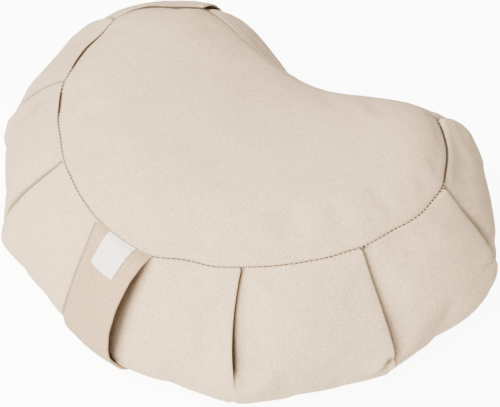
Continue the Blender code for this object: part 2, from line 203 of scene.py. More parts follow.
SEAM_PLACES = tuple(starmap(SeamPlace, (
    (-449, -0.2, 0.8, 0.2), (-419, -0.4, 0.8, 0.3), (-394, 0.2, 1.0, 0.6),
    (-375, -0.4, 1.3, 1.4), (-367, 0.6, 1.6, 2.0), (-358, -3.4, 3.0, 2.6),
    (-344, -4.2, 3.4, 2.8), (-332, -1.0, 1.6, 1.8), (-320, 1.6, 3.0, 2.0),
    (-306, 4.2, 1.6, 1.0), (-287, 3.7, 0.9, 0.4), (-275, 1.5, 1.1, 0.4), (-262, -0.2, 1.8, 0.7),
    (-245, 0.7, 2.8, 0.9), (-232, -0.1, 2.7, 0.9), (-210, -0.2, 1.5, 0.4),
    (-198, 1.2, 1.1, 0.3), (-183, 0.0, 2.1, 0.7), (-169, -0.7, 2.2, 0.8), (-150, 0.6, 1.5, 0.4),
    (-134, -0.8, 1.2, 0.2), (-103, 0.3, 1.2, 0.1), (-82, -0.6, 1.5, 0.1), (-52, -0.2, 1.4, 0.1),
    (-32, -0.1, 1.2, 0.0), (-11, -0.6, 1.2, 0.0), (8, -0.1, 1.3, 0.0), (24, 1.7, 1.5, 0.2),
    (33, -0.2, 1.5, 0.2), (43, -2.0, 1.4, 0.1), (54, -1.2, 1.5, 0.1), (70, 2.0, 1.5, 0.1),
    (81, 1.3, 1.4, 0.0), (93, 0.2, 1.4, 0.0), (117, 0.4, 1.4, 0.0), (165, -0.1, 1.4, 0.0),
    (175, -1.6, 1.5, 0.0), (186, -0.4, 1.5, 0.1), (220, -0.6, 1.6, 0.1), (234, 1.3, 1.5, 0.1),
    (250, 1.1, 1.5, 0.1), (264, -0.3, 1.5, 0.1), (279, 1.2, 1.7, 0.3), (293, -0.3, 2.1, 0.5),
    (315, 0.0, 2.2, 0.6), (339, 0.2, 2.3, 0.5), (362, 0.5, 1.5, 0.3), (400, 0.0, 1.0, 0.1),
    (450, 0.0, 0.9, 0.0), (500, 0.0, 0.8, 0.0),
)))
CREASES = tuple(starmap(Crease, (
    (94, 0.865, 92, 0.935, 2.4, 4.5, 0.3), (95, 0.95, 92, 1.14, 2.4, 7),
    (84, 1.00, 70, 1.10, 1.2, 9), (184.5, 0.955, 179.5, 1.075, 5.0, 2.3, 1.0),
    (179, 0.93, 174, 1.05, -1.8, 3.5), (188.5, 0.98, 185, 1.10, -1.4, 2.6),
    (178, 0.86, 184, 0.91, 1.4, 4), (-203, 0.90, -206, 0.96, -1.2, 4),
    (196, 0.30, 204, 0.85, 1.2, 12), (288, 0.35, 296, 0.90, 1.6, 13),
    (268, 0.78, 282, 0.84, 1.3, 3.5, 0.14), (286, 0.70, 291, 0.90, 1.4, 4, 0.12),
    (294, 0.06, 346, 0.06, -1.1, 7), (300, 0.30, 346, 0.26, 1.2, 13),
    (352, 0.34, 357, 0.70, 1.4, 6), (-300, 0.14, -270, 0.14, -1.4, 8),
    (-228, 0.60, -196, 0.95, -1.3, 10), (-110, 0.10, -118, 0.60, 0.8, 10),
    (30, 0.20, 44, 0.85, 0.9, 14), (-44, 0.15, -40, 0.80, 1.1, 12),
    (120, 0.12, 150, 0.22, 0.6, 12), (214, 0.15, 240, 0.30, 0.7, 13),
    (-80, 0.20, -60, 0.34, 0.6, 13), (420, 0.12, 470, 0.20, 0.8, 12),
    (150, 0.95, 130, 1.06, 0.9, 10), (236, 0.98, 214, 1.08, 0.4, 12),
)))
STRAP_RUN = tuple(starmap(StandOff, (
    (0.03, 0.8, 1.0), (0.12, 1.0, 7.0), (0.28, 1.2, 13.0), (0.50, 1.4, 15.5), (0.72, 1.2, 14.0),
    (0.90, 1.0, 9.5), (1.05, 0.8, 4.0), (1.18, 0.8, 1.2), (1.40, 0.8, 0.8), (1.92, 0.8, 0.8),
)))


# ---- curves and tables -----------------------------------------------------------------
def smooth_points(corners: Sequence[PlanPoint], closed: bool, steps: int = 24) -> Points:
    """Dense points of a Catmull-Rom curve.

    Args:
        corners: the points that the curve passes, in mm before the shift to the centre.
        closed: whether the last point joins the first.
        steps: points between two corners.

    Returns:
        Plan positions in metres.
    """
    points = (np.array(corners, float) + np.array(CENTRE)) * MM
    if closed:
        points = np.vstack([points[-1:], points, points[:2]])
    else:
        first = 2 * points[:1] - points[1:2]
        last = 2 * points[-1:] - points[-2:-1]
        points = np.vstack([first, points, last])
    t = np.linspace(0, 1, steps, endpoint=False)[:, None]
    pieces = []
    for p0, p1, p2, p3 in zip(points, points[1:], points[2:], points[3:]):
        bend = 2 * p0 - 5 * p1 + 4 * p2 - p3
        twist = 3 * p1 - p0 - 3 * p2 + p3
        pieces.append(0.5 * (2 * p1 + (p2 - p0) * t + bend * t ** 2 + twist * t ** 3))
    pieces.append(points[-2:-1])
    return np.vstack(pieces)


def running_length(points: Points) -> Points:
    """Length of a line from its first point to each one."""
    steps = np.linalg.norm(np.diff(points, axis=0), axis=-1)
    return np.concatenate([np.zeros((1,) + steps.shape[1:]), np.cumsum(steps, axis=0)])


def read_line(place: Points, at: Points, line: Points) -> Points:
    """Points of a line at lengths along it."""
    return np.stack([np.interp(place, at, column) for column in line.T], axis=-1)


def smooth_step(t: Points) -> Points:
    """0 to 1 with level ends."""
    t = np.clip(t, 0.0, 1.0)
    return t * t * (3 - 2 * t)


def bezier(t: Points, p0: Points, p1: Points, p2: Points, p3: Points) -> Points:
    """Point of a cubic curve."""
    s = 1 - t
    return s ** 3 * p0 + 3 * s * s * t * p1 + 3 * s * t * t * p2 + t ** 3 * p3


@dataclass
class SeamLine:
    """The closed line of the top seam in plan, read by the distance along it."""

    corners: Sequence[PlanPoint] = SEAM_OUTLINE
    window: float = 12 * MM

    def __post_init__(self) -> None:
        """Works out the dense line once."""
        self.points = smooth_points(self.corners, closed=True)
        self.at = running_length(self.points)
        self.length = float(self.at[-1])

    def point(self, along: Points) -> Points:
        """Plan position at places along the seam."""
        return read_line(np.mod(along, self.length), self.at, self.points)

    def places(self, spacing: float) -> Points:
        """Even places all round the seam, about a spacing apart."""
        count = round(self.length / spacing)
        return np.arange(count) * self.length / count

    def outward(self, along: Points) -> Points:
        """Plan direction that points away from the cushion.

        Args:
            along: places along the seam.

        Returns:
            A unit direction for each place.
        """
        tangent = self.point(along + self.window) - self.point(along - self.window)
        tangent /= np.linalg.norm(tangent, axis=-1, keepdims=True)
        return np.stack([tangent[..., 1], -tangent[..., 0]], axis=-1)

    def out(self, along: Points) -> Points:
        """The same direction in space, for a row of places."""
        return np.column_stack([self.outward(along), 0 * along])

    def offset(self, along: Points, place: float) -> Points:
        """Signed distance along the seam from a place, the short way round."""
        half = self.length / 2
        return np.mod(along - place + half, self.length) - half


class AlongTable:
    """A value given at places along the seam, read smoothly anywhere on it."""

    def __init__(self, places: Sequence[float], values: Sequence[float], seam: SeamLine,
                 blur: float = 4 * MM) -> None:
        """Blurs straight runs between the places.

        Args:
            places: distances along the seam, in mm.
            values: the value at each place, in mm.
            seam: the line that they lie on.
            blur: how far a corner of the graph is rounded off, in metres.
        """
        self.length = seam.length
        self.grid = np.arange(0, self.length, MM)
        graph = np.interp(self.grid, np.array(places) * MM, np.array(values) * MM,
                          period=self.length)
        wave = np.fft.rfftfreq(len(self.grid), MM)
        smooth = np.exp(-2 * (math.pi * wave * blur) ** 2)
        self.values = np.fft.irfft(np.fft.rfft(graph) * smooth, len(self.grid))

    def __call__(self, along: Points) -> Points:
        """The value at places along the seam, in metres."""
        return np.interp(along, self.grid, self.values, period=self.length)


# ---- the cushion's form ----------------------------------------------------------------
@dataclass
class CushionForm:
    """The skin of the filled cushion, before any fold, seam or crease."""

    seam_height: float = 128 * MM
    bottom_seam_height: float = 8 * MM
    widest_height: float = 53 * MM
    crown_rise: float = 25 * MM
    crown_power: float = 2.5
    back_roll: float = 1.9
    rim_ease: float = 0.9
    ease_place: float = -343 * MM
    ease_spread: float = 42 * MM
    hollow_place: float = 480 * MM
    hollow_spread: float = 95 * MM
    horn_tip: float = 340 * MM
    flat_start: float = 0.35
    first_out: tuple[float, float] = (0.33, 0.45)
    first_down: tuple[float, float] = (0.33, 0.02)
    second_out: tuple[float, float] = (0.78, 1.00)
    second_up: tuple[float, float] = (0.28, 0.50)
    belly_drop: float = 0.6
    belly_tuck: float = 0.55
    waver_levels: float = 0.35
    waver_shares: float = 0.6
    seam: SeamLine = field(default_factory=SeamLine)

    def __post_init__(self) -> None:
        """Sorts the stations of the band and reads the seam's own unevenness."""
        rows = [(p.along * MM, p.reach * MM, p.puff, True) for p in PLEATS]
        rows += [(s.along * MM, s.reach * MM, s.puff, False) for s in SWELLS]
        rows.sort()
        rows.append((rows[0][0] + self.seam.length,) + rows[0][1:])
        self.station_at, self.reaches, self.puffs, self.is_pleat = map(np.array, zip(*rows))
        self.crown_line = smooth_points(CROWN_LINE, closed=False)
        self.crown_at = running_length(self.crown_line)
        places, *columns = zip(*SEAM_PLACES)
        self.waver, self.gap, self.lip = (AlongTable(places, c, self.seam) for c in columns)

    def station_slopes(self, values: Points) -> tuple[Points, Points]:
        """Slopes after and before each station: smooth on a panel, broken at a pleat.

        Args:
            values: what each station gives, the first one again at the end.

        Returns:
            The slope just after each station, and just before the next one.
        """
        rise = np.diff(values) / np.diff(self.station_at)
        smooth = 0.5 * (rise + np.roll(rise, 1))
        smooth = np.append(smooth, smooth[0])
        after = smooth[:-1].copy()
        before = smooth[1:].copy()
        for i, secant in enumerate(rise):
            if self.is_pleat[i]:
                after[i] = 2 * secant - smooth[i + 1]
            if self.is_pleat[i + 1]:
                before[i] = 2 * secant - smooth[i]
        return after, before

    def read_stations(self, along: Points, values: Points) -> Points:
        """Reads a column of the stations anywhere on the seam.

        Args:
            along: places along the seam.
            values: what each station gives, the first one again at the end.

        Returns:
            The value at each place.
        """
        at = self.station_at
        after, before = self.station_slopes(values)
        place = np.mod(along - at[0], self.seam.length) + at[0]
        i = np.clip(np.searchsorted(at, place, side="right") - 1, 0, len(after) - 1)
        span = at[i + 1] - at[i]
        t = (place - at[i]) / span
        start = (1 + 2 * t) * (1 - t) ** 2 * values[i] + t * (1 - t) ** 2 * span * after[i]
        end = t ** 2 * (3 - 2 * t) * values[i + 1] - t ** 2 * (1 - t) * span * before[i]
        return start + end

    def section(self, reach: Points, puff: Points, level: Points) -> tuple[Points, Points]:
        """Reach out from the seam and height of the band at a level.

        Args:
            reach: how far the widest place stands out from the seam.
            puff: how full the section is, from 0 to 1.
            level: 0 at the top seam, 1 at the widest place, 2 at the bottom seam.

        Returns:
            The reach and the height, in metres.
        """
        def mixed(handle: tuple[float, float]) -> Points:
            """A handle of the curve, between its flat and its full place."""
            return handle[0] + (handle[1] - handle[0]) * puff

        top, low, widest = self.seam_height, self.bottom_seam_height, self.widest_height
        drop = top - widest
        up = np.clip(level, 0, 1)
        out_up = bezier(up, 0 * reach, reach * mixed(self.first_out),
                        reach * mixed(self.second_out), reach)
        height_up = bezier(up, top, top - drop * mixed(self.first_down),
                           widest + drop * mixed(self.second_up), widest)
        down = np.clip(level - 1, 0, 1)
        out_down = bezier(down, reach, reach, reach * self.belly_tuck, 0 * reach)
        height_down = bezier(down, widest, widest - self.belly_drop * (widest - low), low, low)
        above = level <= 1
        return np.where(above, out_up, out_down), np.where(above, height_up, height_down)

    def skin(self, along: Points, level: Points) -> Points:
        """Point of the band's unfolded skin.

        Args:
            along: places along the seam.
            level: 0 at the top seam, 1 at the widest place, 2 at the bottom seam.

        Returns:
            Positions, with a last axis of three.
        """
        along, level = np.broadcast_arrays(np.asarray(along, float), np.asarray(level, float))
        reach = self.read_stations(along, self.reaches)
        puff = self.read_stations(along, self.puffs)
        out, height = self.section(reach, puff, level)
        fade = np.clip(1 - level / self.waver_levels, 0, 1) ** 2
        out = out + self.waver(along) * fade
        plan = self.seam.point(along) + self.seam.outward(along) * out[..., None]
        return np.concatenate([plan, height[..., None]], axis=-1)

    def skin_normal(self, along: Points, level: Points, step: float = 2 * MM,
                    level_step: float = 0.03) -> Points:
        """Direction square to the band's skin, facing out.

        Args:
            along: places along the seam.
            level: levels down the band.
            step: how far to either side along the seam the skin is felt, in metres.
            level_step: how far up and down it is felt.

        Returns:
            A unit direction for each place.
        """
        across = self.skin(along + step, level) - self.skin(along - step, level)
        low = np.clip(level + level_step, 0, 2)
        high = np.clip(level - level_step, 0, 2)
        down = self.skin(along, low) - self.skin(along, high)
        normal = np.cross(down, across)
        return normal / np.linalg.norm(normal, axis=-1, keepdims=True)

    def crown_line_point(self, along: Points) -> Points:
        """Point of the crown's middle line that a place on the seam faces.

        Args:
            along: places along the seam.

        Returns:
            A plan position for each place.
        """
        place = self.seam.offset(along, 0.0)
        from_front = np.abs(place)
        back = self.seam.length / 2 - self.horn_tip
        on_front = np.sin(np.pi / 2 * np.minimum(from_front / self.horn_tip, 1))
        on_back = np.cos(np.pi / 2 * np.maximum(from_front - self.horn_tip, 0) / back)
        offset = np.sign(place) * np.where(from_front < self.horn_tip, on_front, on_back)
        target = self.crown_at[-1] * (0.5 + 0.5 * offset)
        return read_line(target, self.crown_at, self.crown_line)

    def inward(self, along: Points, share: float) -> Points:
        """Plan position a share of the way from the seam to the crown's middle line."""
        start = self.seam.point(along)
        return start + (self.crown_line_point(along) - start) * share

    def crown(self, along: Points, share: float) -> Points:
        """Point of the top panel's face.

        Args:
            along: places along the seam.
            share: 0 at the seam, 1 at the crown's middle line.

        Returns:
            Positions, with a last axis of three.
        """
        hollow = np.exp(-(self.seam.offset(along, self.hollow_place) / self.hollow_spread) ** 2)
        ease = np.exp(-(self.seam.offset(along, self.ease_place) / self.ease_spread) ** 2)
        power = self.crown_power + self.back_roll * hollow - self.rim_ease * ease
        height = self.seam_height + self.crown_rise * (1 - (1 - share) ** power)
        fade = max(0.0, 1 - share / self.waver_shares) ** 2
        plan = self.inward(along, share)
        plan += self.seam.outward(along) * (self.waver(along) * fade)[..., None]
        return np.concatenate([plan, height[..., None]], axis=-1)

    def sole(self, along: Points, share: float) -> Points:
        """Point of the bottom panel's face: a turned-up rim round a flat middle.

        Args:
            along: places along the seam.
            share: 0 at the seam, 1 at the middle line.

        Returns:
            Positions, with a last axis of three.
        """
        plan = self.inward(along, share)
        climb = max(0.0, 1 - share / self.flat_start)
        height = np.full(plan.shape[:-1], self.bottom_seam_height * climb ** 2)
        return np.concatenate([plan, height[..., None]], axis=-1)


# ---- meshes ----------------------------------------------------------------------------
@dataclass
class RingMesh:
    """A closed mesh through rings of equal count, with a cloth UV map in metres.

    shade is the shade painted into each point's colour, from 0 to 1, where it lies in a groove
    or fold, under other cloth or beside the strap.
    """

    rings: Sequence[Points]
    cloth: Points | None = None
    shade: Points | None = None

    def build(self, name: str) -> bpy.types.Object:
        """Makes the object.

        Args:
            name: the piece's name.

        Returns:
            An object at the origin, its faces outward and its ends closed.
        """
        points = np.array(self.rings)
        rows, columns = points.shape[:2]
        mesh = bmesh.new()
        bmesh.ops.create_grid(mesh, x_segments=columns, y_segments=rows - 1, size=0.5,
                              calc_uvs=True)
        layer = mesh.loops.layers.uv.verify()
        self.map_cloth(mesh, layer, rows, columns)
        # The shade attribute carries each point's painted shade.
        depth = mesh.verts.layers.float.new(SHADE)
        for vert in mesh.verts:
            column = round((vert.co.x + 0.5) * columns) % columns
            row = round((vert.co.y + 0.5) * (rows - 1))
            vert.co = points[row, column]
            if self.shade is not None:
                vert[depth] = self.shade[row, column]
        edge = [v for v in mesh.verts if v.is_boundary]
        bmesh.ops.remove_doubles(mesh, verts=edge, dist=1e-7)
        bmesh.ops.holes_fill(mesh, edges=[e for e in mesh.edges if e.is_boundary], sides=0)
        caps = [f for f in mesh.faces if len(f.verts) > 4]
        bmesh.ops.triangulate(mesh, faces=caps)
        bmesh.ops.recalc_face_normals(mesh, faces=mesh.faces)
        return finished_object(name, mesh)

    def map_cloth(self, mesh: bmesh.types.BMesh, layer: bmesh.types.BMLayerItem, rows: int,
                  columns: int) -> None:
        """Gives each corner the place on the flat cloth that its ring point has.

        Args:
            mesh: the flat grid, before its points are moved to the rings.
            layer: its UV layer.
            rows: how many rings it has.
            columns: how many points a ring has.
        """
        if self.cloth is None:
            return
        for face in mesh.faces:
            for loop in face.loops:
                column = round((loop.vert.co.x + 0.5) * columns)
                row = round((loop.vert.co.y + 0.5) * (rows - 1))
                loop[layer].uv = self.cloth[row, column]


def finished_object(name: str, mesh: bmesh.types.BMesh) -> bpy.types.Object:
    """Turns a bmesh into a smooth-shaded object at the origin, and frees it.

    Args:
        name: the piece's name.
        mesh: its points and faces.

    Returns:
        The object, linked to the scene.
    """
    data = bpy.data.meshes.new(name)
    mesh.to_mesh(data)
    mesh.free()
    data.shade_smooth()
    thing = bpy.data.objects.new(name, data)
    bpy.context.scene.collection.objects.link(thing)
    return thing


def vertex_places(data: bpy.types.Mesh) -> Points:
    """Positions of a mesh's points.

    Args:
        data: the mesh.

    Returns:
        One row of three for each point.
    """
    places = np.zeros(len(data.vertices) * 3)
    data.vertices.foreach_get("co", places)
    return places.reshape(-1, 3)


def plan_cloth(thing: bpy.types.Object) -> None:
    """Maps a flat-cut panel's cloth by its plan positions.

    Args:
        thing: the panel's object.
    """
    data = thing.data
    corner = np.zeros(len(data.loops), int)
    data.loops.foreach_get("vertex_index", corner)
    flat = vertex_places(data)[corner, :2]
    layer = data.uv_layers[0] if data.uv_layers else data.uv_layers.new(name="UVMap")
    layer.data.foreach_set("uv", flat.ravel())


def strip_cloth(across: Points, down: Points) -> Points:
    """Cloth map of a strip, from the places of its columns and of its rows.

    Args:
        across: the place of each column, across the strip.
        down: the place of each row, along it.

    Returns:
        A cloth position for each ring point, and one that closes each ring.
    """
    cloth = np.zeros((len(down), len(across) + 1, 2))
    cloth[:, :-1, 0] = across
    cloth[:, :, 1] = down[:, None]
    return cloth


def unevenness(points: Points, scale: float, height: float) -> Points:
    """Soft irregular lift of cloth at each point, as long as scale and up to height.

    Args:
        points: positions, in metres.
        scale: how long a swell of it is.
        height: how high it may rise.

    Returns:
        The lift at each point, in metres.
    """
    flat = points.reshape(-1, 3)
    lift = [noise.noise(Vector(p) / scale) for p in flat]
    return np.array(lift).reshape(points.shape[:-1]) * height


# ---- the give of the filling -----------------------------------------------------------
def point_tree(points: Points) -> KDTree:
    """A search tree of numbered points.

    Args:
        points: positions, a row each.

    Returns:
        The tree, ready to be searched.
    """
    tree = KDTree(len(points))
    for i, point in enumerate(points):
        tree.insert(point, i)
    tree.balance()
    return tree


def summed(number: Points, values: Points) -> Points:
    """Sums of the rows that carry each number."""
    return np.stack([np.bincount(number, column) for column in values.T], axis=-1)


CANVAS_STIFFNESS = {
    "quality": 6, "mass": 0.3, "tension_stiffness": 25, "compression_stiffness": 25,
    "shear_stiffness": 8, "bending_stiffness": 3.0, "use_pressure": True, "pin_stiffness": 1.0,
}


@dataclass
class FillingPressure:
    """Cloth under the push of the filling: how far each point of the skin gives way.

    spare_cloth is how much the cloth shrinks, and below 0 grows. The movement is capped at
    most, and kept_swell is what stays of the even swelling, which cells of swell_cell share
    over swell_reach. The cloth is held over the distance hold from a seam, fold or the floor.
    """

    form: CushionForm
    crown_shares: Sequence[float] = (0.95, 0.8, 0.65, 0.5, 0.35, 0.2, 0.1, 0.04)
    sole_shares: Sequence[float] = (0.06, 0.16, 0.35, 0.6, 0.9)
    band_rows: int = 30
    pleat_points: int = 24
    voxel: float = 5 * MM
    pressure: float = 4.0
    frames: int = 20
    spare_cloth: float = -0.012
    most: float = 3 * MM
    hold: float = 14 * MM
    floor_start: float = 2 * MM
    floor_hold: float = 12 * MM
    least_hold: float = 0.01
    kept_swell: float = 0.2
    swell_cell: float = 20 * MM
    swell_reach: float = 30 * MM
    neighbours: int = 8
    spacing: float = 5 * MM

    def __post_init__(self) -> None:
        """Starts with no movement."""
        self.tree: KDTree | None = None
        self.moves = np.zeros((0, 3))

    def rings(self) -> list[Points]:
        """Coarse rings round the whole cushion, from the crown to the sole.

        Returns:
            The rings, from the middle of the top round to that of the sole.
        """
        along = self.form.seam.places(self.spacing)
        crown = [self.form.crown(along, share) for share in self.crown_shares]
        band = [self.form.skin(along, level) for level in np.linspace(0, 2, self.band_rows)]
        return crown + band + [self.form.sole(along, share) for share in self.sole_shares]

    def held_points(self) -> Points:
        """Points of the seams and the pleats, where the cloth can't move.

        Returns:
            Positions, a row each.
        """
        along = np.arange(0, self.form.seam.length, self.spacing)
        seams = [self.form.skin(along, level) for level in (0.0, 2.0)]
        levels = np.linspace(0, 1.0, self.pleat_points)
        return np.vstack(seams + [self.form.skin(pleat_path(p, levels), levels) for p in PLEATS])

    def settle(self) -> None:
        """Runs the simulation and keeps the movement of each point."""
        cage = RingMesh(self.rings()).build("filling_cage")
        remesh = cage.modifiers.new("Voxels", "REMESH")
        remesh.mode = "VOXEL"
        remesh.voxel_size = self.voxel
        graph = bpy.context.evaluated_depsgraph_get()
        data = bpy.data.meshes.new_from_object(cage.evaluated_get(graph))
        cage.modifiers.clear()
        cage.data = data
        start = vertex_places(data)
        self.pin(cage, start)
        self.add_cloth(cage)
        scene = bpy.context.scene
        for frame in range(1, self.frames + 1):
            scene.frame_set(frame)
        graph = bpy.context.evaluated_depsgraph_get()
        end = vertex_places(cage.evaluated_get(graph).data)
        scene.frame_set(1)
        self.keep(start, end - start)
        bpy.data.objects.remove(cage)

    def pin(self, cage: bpy.types.Object, start: Points) -> None:
        """Holds the cloth at its seams and folds and where it lies on the floor.

        Args:
            cage: the cloth's object.
            start: where its points are.
        """
        tree = point_tree(self.held_points())
        away = np.array([tree.find(p)[2] for p in start])
        from_line = smooth_step((away - self.voxel) / self.hold)
        from_floor = smooth_step((start[:, 2] - self.floor_start) / self.floor_hold)
        group = cage.vertex_groups.new(name="held")
        for i, weight in enumerate(1 - np.minimum(from_line, from_floor)):
            if weight > self.least_hold:
                group.add([i], float(weight), "REPLACE")

    def add_cloth(self, cage: bpy.types.Object) -> None:
        """Gives the cage the stiffness of canvas and the pressure of the filling.

        Args:
            cage: the cloth's object.
        """
        cloth = cage.modifiers.new("Canvas", "CLOTH")
        settings = cloth.settings
        for name, value in CANVAS_STIFFNESS.items():
            setattr(settings, name, value)
        settings.uniform_pressure_force = self.pressure
        settings.shrink_min = self.spare_cloth
        settings.vertex_group_mass = "held"
        settings.effector_weights.gravity = 0.0
        cloth.collision_settings.use_collision = False
        cloth.point_cache.frame_start = 1
        cloth.point_cache.frame_end = self.frames

    def keep(self, start: Points, moves: Points) -> None:
        """Caps the movement, and takes away most of the even swelling.

        Args:
            start: where the cage's points were.
            moves: how far each one went.
        """
        moves = moves - (1 - self.kept_swell) * self.even_swell(start, moves)
        length = np.linalg.norm(moves, axis=1, keepdims=True)
        self.moves = moves * np.minimum(1, self.most / np.maximum(length, 1e-9))
        self.tree = point_tree(start)
        log.info("filling: moves %.2f mm before the cap, %.2f mm after it", length.max() / MM,
                 np.linalg.norm(self.moves, axis=1).max() / MM)

    def even_swell(self, start: Points, moves: Points) -> Points:
        """The part of the movement that neighbouring cloth shares over a wide reach.

        Args:
            start: where the cage's points were.
            moves: how far each one went.

        Returns:
            The shared movement at each point.
        """
        cells = np.floor(start / self.swell_cell).astype(int)
        number = np.unique(cells, axis=0, return_inverse=True)[1].ravel()
        count = np.bincount(number)
        middle = summed(number, start) / count[:, None]
        away = np.linalg.norm(start[:, None] - middle[None], axis=-1)
        weight = np.exp(-(away / self.swell_reach) ** 2)
        return weight @ summed(number, moves) / (weight @ count)[:, None]

    def at(self, points: Points) -> Points:
        """Movement of the skin at points near it, in metres.

        Args:
            points: positions on the skin.

        Returns:
            A movement for each, and none if the simulation was skipped.
        """
        if self.tree is None:
            return np.zeros_like(points)
        flat = points.reshape(-1, 3)
        moved = np.zeros_like(flat)
        for i, point in enumerate(flat):
            found = self.tree.find_n(point, self.neighbours)
            index = [f[1] for f in found]
            weight = np.exp(-(np.array([f[2] for f in found]) / self.voxel) ** 2)
            moved[i] = weight @ self.moves[index] / (weight.sum() + 1e-12)
        return moved.reshape(points.shape)


# ---- folds -----------------------------------------------------------------------------
def pleat_path(pleat: Pleat, level: Points) -> Points:
    """Place on the seam where a pleat's edge lies at each level.

    Args:
        pleat: the pleat.
        level: levels down the band.

    Returns:
        The places, in metres along the seam.
    """
    level = np.asarray(level, float)
    drift = np.where(level <= 1, level, 2 - level)
    return (pleat.along + pleat.lean * drift + 4 * pleat.bow * drift * (1 - drift)) * MM


class FoldPoint(NamedTuple):
    """A fold's point: its places at rest and folded, shares of the fold's sizes, painted shade."""

    rest: float
    folded: float
    tuck: float = 0.0
    proud: float = 0.0
    flap: float = 0.0
    dip: float = 0.0
    shade: float = 0.0


class RowPlan(NamedTuple):
    """Points of a ring: their places on the seam, lifts off the skin, and painted shade."""

    along: Points
    lift: Points
    shade: Points


@dataclass
class FoldSection:
    """Points across a knife pleat, from the covering panel to the covered one, in mm.

    The covering panel starts to rise at cover_start, ends at cover_end, and turns under over
    the angles of turns, in half circles. The tucked cloth comes back to covered_start, and
    the covered panel runs level again by covered_end. The places edge_out, inner_out,
    root_out and back_out are where the turned edge, the cloth under it, the root of the
    tuck and the cloth coming back lie, and rests where those points lie on a closed fold.
    tuck_in and tuck_back are the shares of the tuck at which the cloth under the edge and
    the cloth coming back have their points. Shade is painted on the turned edge from
    dark_from of its turn on, at dark_rate, and fully on the tuck and the covered panel's
    edge, up to darkest.
    """

    flap: float = 2.2
    cover_start: float = 20.0
    cover_end: float = 1.3
    cover_power: float = 0.65
    turns: tuple[float, float] = (0.14, 0.90)
    rests: tuple[float, float] = (-1.1, 0.7)
    edge_out: float = -0.5
    inner_out: float = -0.4
    root_out: float = -0.8
    back_out: float = 0.2
    covered_start: float = 0.9
    covered_end: float = 26.0
    covered_power: float = 1.35
    darkest: float = 0.92
    dark_from: float = 0.4
    dark_rate: float = 1.6
    tuck_in: tuple[float, float] = (0.3, 1.0)
    tuck_back: tuple[float, float] = (0.95, 0.2)
    mouth_reach: float = 0.13
    closed_level: float = 1.14
    cover_points: int = 9
    edge_points: int = 6
    tuck_points: int = 3
    covered_points: int = 22

    def __post_init__(self) -> None:
        """Lists the points once."""
        rows = []
        start = self.cover_start
        for t in np.linspace(0, 1, self.cover_points):
            place = -start + (start - self.cover_end) * t ** self.cover_power
            rise = float(smooth_step((place + start) / (start - 1)))
            rows.append(FoldPoint(place, place, proud=rise))
        rests = iter(np.linspace(*self.rests, self.edge_points + 2 * self.tuck_points + 1))
        for turn in np.linspace(*self.turns, self.edge_points) * math.pi:
            out = self.edge_out + self.flap / 2 * math.sin(turn)
            under = (1 - math.cos(turn)) / 2
            # Painted shade on the underside of the turned edge.
            dark = max(0, under - self.dark_from) * self.dark_rate
            rows.append(FoldPoint(next(rests), out, proud=1, flap=under, shade=dark))
        for t in np.linspace(*self.tuck_in, self.tuck_points):
            rows.append(FoldPoint(next(rests), self.inner_out, tuck=t, proud=1,
                                  flap=1 + 0.1 * t, dip=0.15 * t, shade=1))
        rows.append(FoldPoint(next(rests), self.root_out, tuck=1, proud=0.4, flap=0.5,
                              dip=0.6, shade=1))
        for t in np.linspace(*self.tuck_back, self.tuck_points):
            rows.append(FoldPoint(next(rests), self.back_out, tuck=t, dip=1.02, shade=1))
        width = self.covered_end - self.covered_start
        for t in np.linspace(0, 1, self.covered_points):
            place = self.covered_start + width * t ** self.covered_power
            rows.append(FoldPoint(place, place, dip=1, shade=1))
        self.rows = np.array(rows)
        self.turn = self.cover_points + self.edge_points + self.tuck_points

    def at(self, pleat: Pleat, level: float) -> RowPlan:
        """The points across one pleat.

        Args:
            pleat: the pleat.
            level: how far down the band.

        Returns:
            Its points in metres, in seam order.
        """
        run = np.array(FOLD_RUN)
        ends = self.closed_level
        place = level / pleat.close if level < ends * pleat.close else max(level, ends)
        is_open, tuck, dip, proud = (np.interp(place, run[:, 0], run[:, k]) for k in (1, 2, 3, 4))
        rest, out, tucked, up, flap, down, shade = self.rows.T
        place = rest + (out - tucked * tuck - rest) * is_open
        away = np.clip((rest - self.covered_start) / pleat.spread, 0, 1)
        down = down * (1 - away) ** 2
        deep = dip * pleat.dip + pleat.mouth * math.exp(-((level / self.mouth_reach) ** 2))
        lift = up * proud * pleat.proud - flap * self.flap - down * deep
        side = 1 if pleat.along > 0 else -1
        along = pleat_path(pleat, level) + side * place * MM
        order = slice(None) if side > 0 else slice(None, None, -1)
        # Painted shade on the covered panel beside the edge, fading over cast times the dip.
        reach = pleat.cast * deep
        fade = np.exp(-(np.maximum(rest - self.covered_start, 0) / reach) ** pleat.crisp)
        shade = shade * is_open * self.darkest * fade
        return RowPlan(along[order], (lift * is_open * MM)[order], shade[order])


